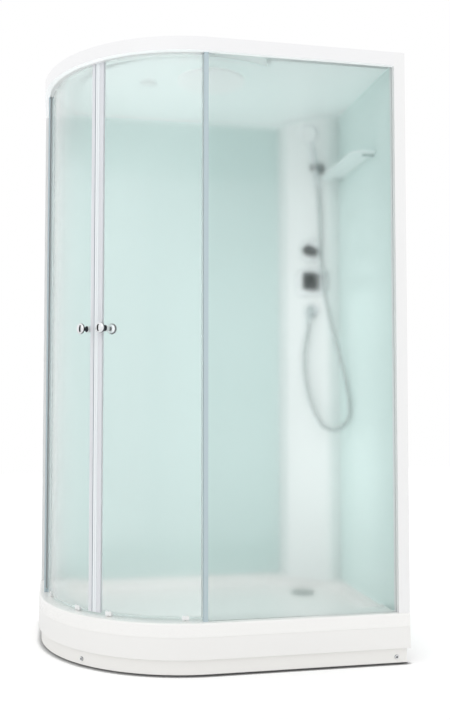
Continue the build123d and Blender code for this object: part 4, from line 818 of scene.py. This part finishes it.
def ribbedTube(name, line, settings, material):
    # radius = tube radius - rib depth * (0.5 + 0.5 * sin(turns along the line + angle)), a spiral rib
    length = lineLength(line)
    along = np.linspace(0, length, int(length / settings["ribPitch"] * settings["samplesPerRib"]))
    angle = np.linspace(0, 2 * math.pi, settings["sides"], endpoint=False)
    phase = along[:, None] / settings["ribPitch"] * 2 * math.pi + angle[None, :]
    radius = settings["radius"] - settings["ribDepth"] * (0.5 + 0.5 * np.sin(phase))
    return tubeAlong(name, line, along, radius, material)


def hoseEnd(name, line, start, end, settings, material):
    # radius = thick + (thin - thick) * share to a power, less shallow grips at the thick part,
    # with the share running from the hose's nearer end
    along = np.linspace(start, end, settings["rings"])
    share = np.linspace(0, 1, settings["rings"])
    if start > 0:
        share = share[::-1]
    angle = np.linspace(0, 2 * math.pi, settings["sides"], endpoint=False)
    cone = settings["thick"] + (settings["thin"] - settings["thick"]) * share ** settings["bow"]
    grip = settings["gripDepth"] * (0.5 + 0.5 * np.cos(settings["grips"] * angle))
    radius = cone[:, None] - grip[None, :] * (share < settings["gripShare"])[:, None]
    return tubeAlong(name, line, along, radius, material)


hoseLine = splineLine("hoseLine", hosePoints)
hose = ribbedTube("shower_hose_skin", hoseLine, hoseSettings, finishes["hoseMetal"])
hoseLength = lineLength(hoseLine)
coneSettings = {
    "length": 0.044,
    "thick": 0.0093,  # radius
    "thin": 0.0076,
    "bow": 1.3,  # power of the share, over 1 for a bowed side
    "rings": 40,
    "sides": 48,
    "grips": 12,
    "gripDepth": 0.0003,
    "gripShare": 0.45,
}
nutSettings = {
    **coneSettings, "length": 0.024, "thick": 0.0094, "grips": 6, "gripDepth": 0.0007, "gripShare": 0.6,
}
hoseCone = hoseEnd("hose_cone", hoseLine, 0, coneSettings["length"], coneSettings, finishes["chrome"])
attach(hoseCone, "handset")
nutStart = hoseLength - nutSettings["length"]
hoseNut = hoseEnd("hose_nut", hoseLine, nutStart, hoseLength, nutSettings, finishes["chrome"])
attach(hoseNut, "cabin")
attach(hose, "cabin")
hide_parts("shower_hose")
print("hose made, metres:", round(hoseLength, 3))


# Floor, background and light
studio = {
    "worldStrength": 1.0,
    "keyPower": 8,
    "keyPlace": (-2.2, -3.4, 3.4),
    "keyTarget": (0, 0, 1),
    "keySize": 2.6,
    "insideFills": [  # place and power
        ((0.26, -0.08, 0.6), 1.0), ((0.26, -0.08, 1.2), 1.0), ((-0.36, 0.0, 1.68), 0.26),
    ],
    "fillSoftness": 0.2,
    "contactReach": 0.026,  # metres over which the floor darkens beside the plinth
    "contactPower": 5,
    "contactSamples": 8,
    "contactLean": (-0.4, 0.8, 0.45),  # so it darkens in front of the plinth more than at its left
    # colour of the painted contact shadow on the floor
    "paintedShadowTint": 0.01,
    "floorSize": 14,
    "floorTint": 0.9,
    "floorRoughness": 0.9,
    "floorLift": 0.2,  # light added for the camera, so the bare floor reaches the backdrop's white
}
stripSettings = {
    "place": (-0.53, 0.2, 0.98), "target": (-0.53, 1, 0.98), "width": 0.06, "height": 1.7, "power": 0.46,
}
world = bpy.data.worlds.new("studioWorld")
bpy.context.scene.world = world
world.use_nodes = True
worldTree = world.node_tree
lightSky = worldTree.nodes["Background"]
lightSky.inputs["Color"].default_value = (1, 1, 1, 1)
lightSky.inputs["Strength"].default_value = studio["worldStrength"]
seenSky = worldTree.nodes.new("ShaderNodeBackground")
seenSky.inputs["Color"].default_value = (1, 1, 1, 1)
seenSky.inputs["Strength"].default_value = 1
worldRays = worldTree.nodes.new("ShaderNodeLightPath")
seen = worldRays.outputs["Is Camera Ray"]
for rayName in ("Is Glossy Ray", "Is Transmission Ray"):
    seen = mathNode(worldTree, "MAXIMUM", seen, worldRays.outputs[rayName])
skyMix = worldTree.nodes.new("ShaderNodeMixShader")
worldTree.links.new(seen, skyMix.inputs[0])
worldTree.links.new(lightSky.outputs[0], skyMix.inputs[1])
worldTree.links.new(seenSky.outputs[0], skyMix.inputs[2])
worldTree.links.new(skyMix.outputs[0], worldTree.nodes["World Output"].inputs["Surface"])

# The camera sees a floor that darkens close to the plinth, a painted contact shadow in its colour and in its
# added light: openness = occlusion to the contact power
floorMaterial = bpy.data.materials.new("paleFloor")
floorMaterial.use_nodes = True
floorTree = floorMaterial.node_tree
floorShader = floorTree.nodes["Principled BSDF"]
contact = floorTree.nodes.new("ShaderNodeAmbientOcclusion")
contact.inputs["Distance"].default_value = studio["contactReach"]
contact.samples = studio["contactSamples"]
towardsBase = floorTree.nodes.new("ShaderNodeCombineXYZ")
for index, value in enumerate(studio["contactLean"]):
    towardsBase.inputs[index].default_value = value
floorTree.links.new(towardsBase.outputs[0], contact.inputs["Normal"])
openness = mathNode(floorTree, "POWER", contact.outputs["AO"], studio["contactPower"])
toCamera = floorTree.nodes.new("ShaderNodeLightPath").outputs["Is Camera Ray"]
paleShare = mathNode(floorTree, "MAXIMUM", openness, mathNode(floorTree, "SUBTRACT", 1, toCamera))
floorColour = floorTree.nodes.new("ShaderNodeMix")
floorColour.data_type = "RGBA"
floorColour.inputs["A"].default_value = (studio["paintedShadowTint"],) * 3 + (1,)
floorColour.inputs["B"].default_value = (studio["floorTint"],) * 3 + (1,)
floorTree.links.new(paleShare, floorColour.inputs["Factor"])
floorTree.links.new(floorColour.outputs["Result"], floorShader.inputs["Base Color"])
floorShader.inputs["Roughness"].default_value = studio["floorRoughness"]
floorShader.inputs["Specular IOR Level"].default_value = 0
floorLift = mathNode(floorTree, "MULTIPLY", openness, studio["floorLift"])
floorShader.inputs["Emission Color"].default_value = (1, 1, 1, 1)
floorTree.links.new(
    mathNode(floorTree, "MULTIPLY", toCamera, floorLift), floorShader.inputs["Emission Strength"],
)
half = studio["floorSize"] / 2
floorCorners = np.array([[-half, -half, 0], [half, -half, 0], [half, half, 0], [-half, half, 0]])
meshFrom("studioFloor", floorCorners, [[0, 1, 2, 3]], [floorMaterial])

# A tall dark card to the left, seen in the chrome only
cardSettings = {
    "near": -0.62, "far": 0.16, "low": 0.1, "high": 2.4, "side": -2.6, "colour": (0.01, 0.01, 0.012, 1),
}
cardMaterial = bpy.data.materials.new("darkCard")
cardMaterial.use_nodes = True
cardShader = cardMaterial.node_tree.nodes["Principled BSDF"]
cardShader.inputs["Base Color"].default_value = cardSettings["colour"]
cardCorners = np.array([
    [cardSettings["side"], cardSettings[end], cardSettings[level]]
    for end, level in (("near", "low"), ("near", "high"), ("far", "high"), ("far", "low"))
])
card = meshFrom("darkCard", cardCorners, [[0, 1, 2, 3]], [cardMaterial])
card.visible_camera = False
card.visible_diffuse = False
card.visible_transmission = False
card.visible_shadow = False


def hideLamp(lamp):
    # only the surfaces that the lamp lights can show it
    lamp.visible_camera = False
    lamp.visible_glossy = False
    lamp.visible_transmission = False


def areaLamp(name, place, target, size, power):
    # a square lamp at the place that faces the target
    lampData = bpy.data.lights.new(name, "AREA")
    lampData.size = size
    lampData.energy = power
    lamp = placed(name, lampData)
    lamp.location = place
    lamp.rotation_euler = (Vector(target) - Vector(place)).to_track_quat("-Z", "Y").to_euler()
    return lamp


areaLamp("keyLamp", studio["keyPlace"], studio["keyTarget"], studio["keySize"], studio["keyPower"])
# Soft fill inside the cabin
for place, power in studio["insideFills"]:
    fillData = bpy.data.lights.new("cabinFill", "POINT")
    fillData.energy = power
    fillData.shadow_soft_size = studio["fillSoftness"]
    fill = placed("cabinFill", fillData)
    fill.location = place
    hideLamp(fill)
# A tall strip inside, by the left post, that lights the wall behind the left door
strip = stripSettings
stripLamp = areaLamp("sideStrip", strip["place"], strip["target"], strip["width"], strip["power"])
stripLamp.data.shape = "RECTANGLE"
stripLamp.data.size_y = strip["height"]
hideLamp(stripLamp)
bpy.context.scene.view_settings.view_transform = "Standard"
print("studio made")
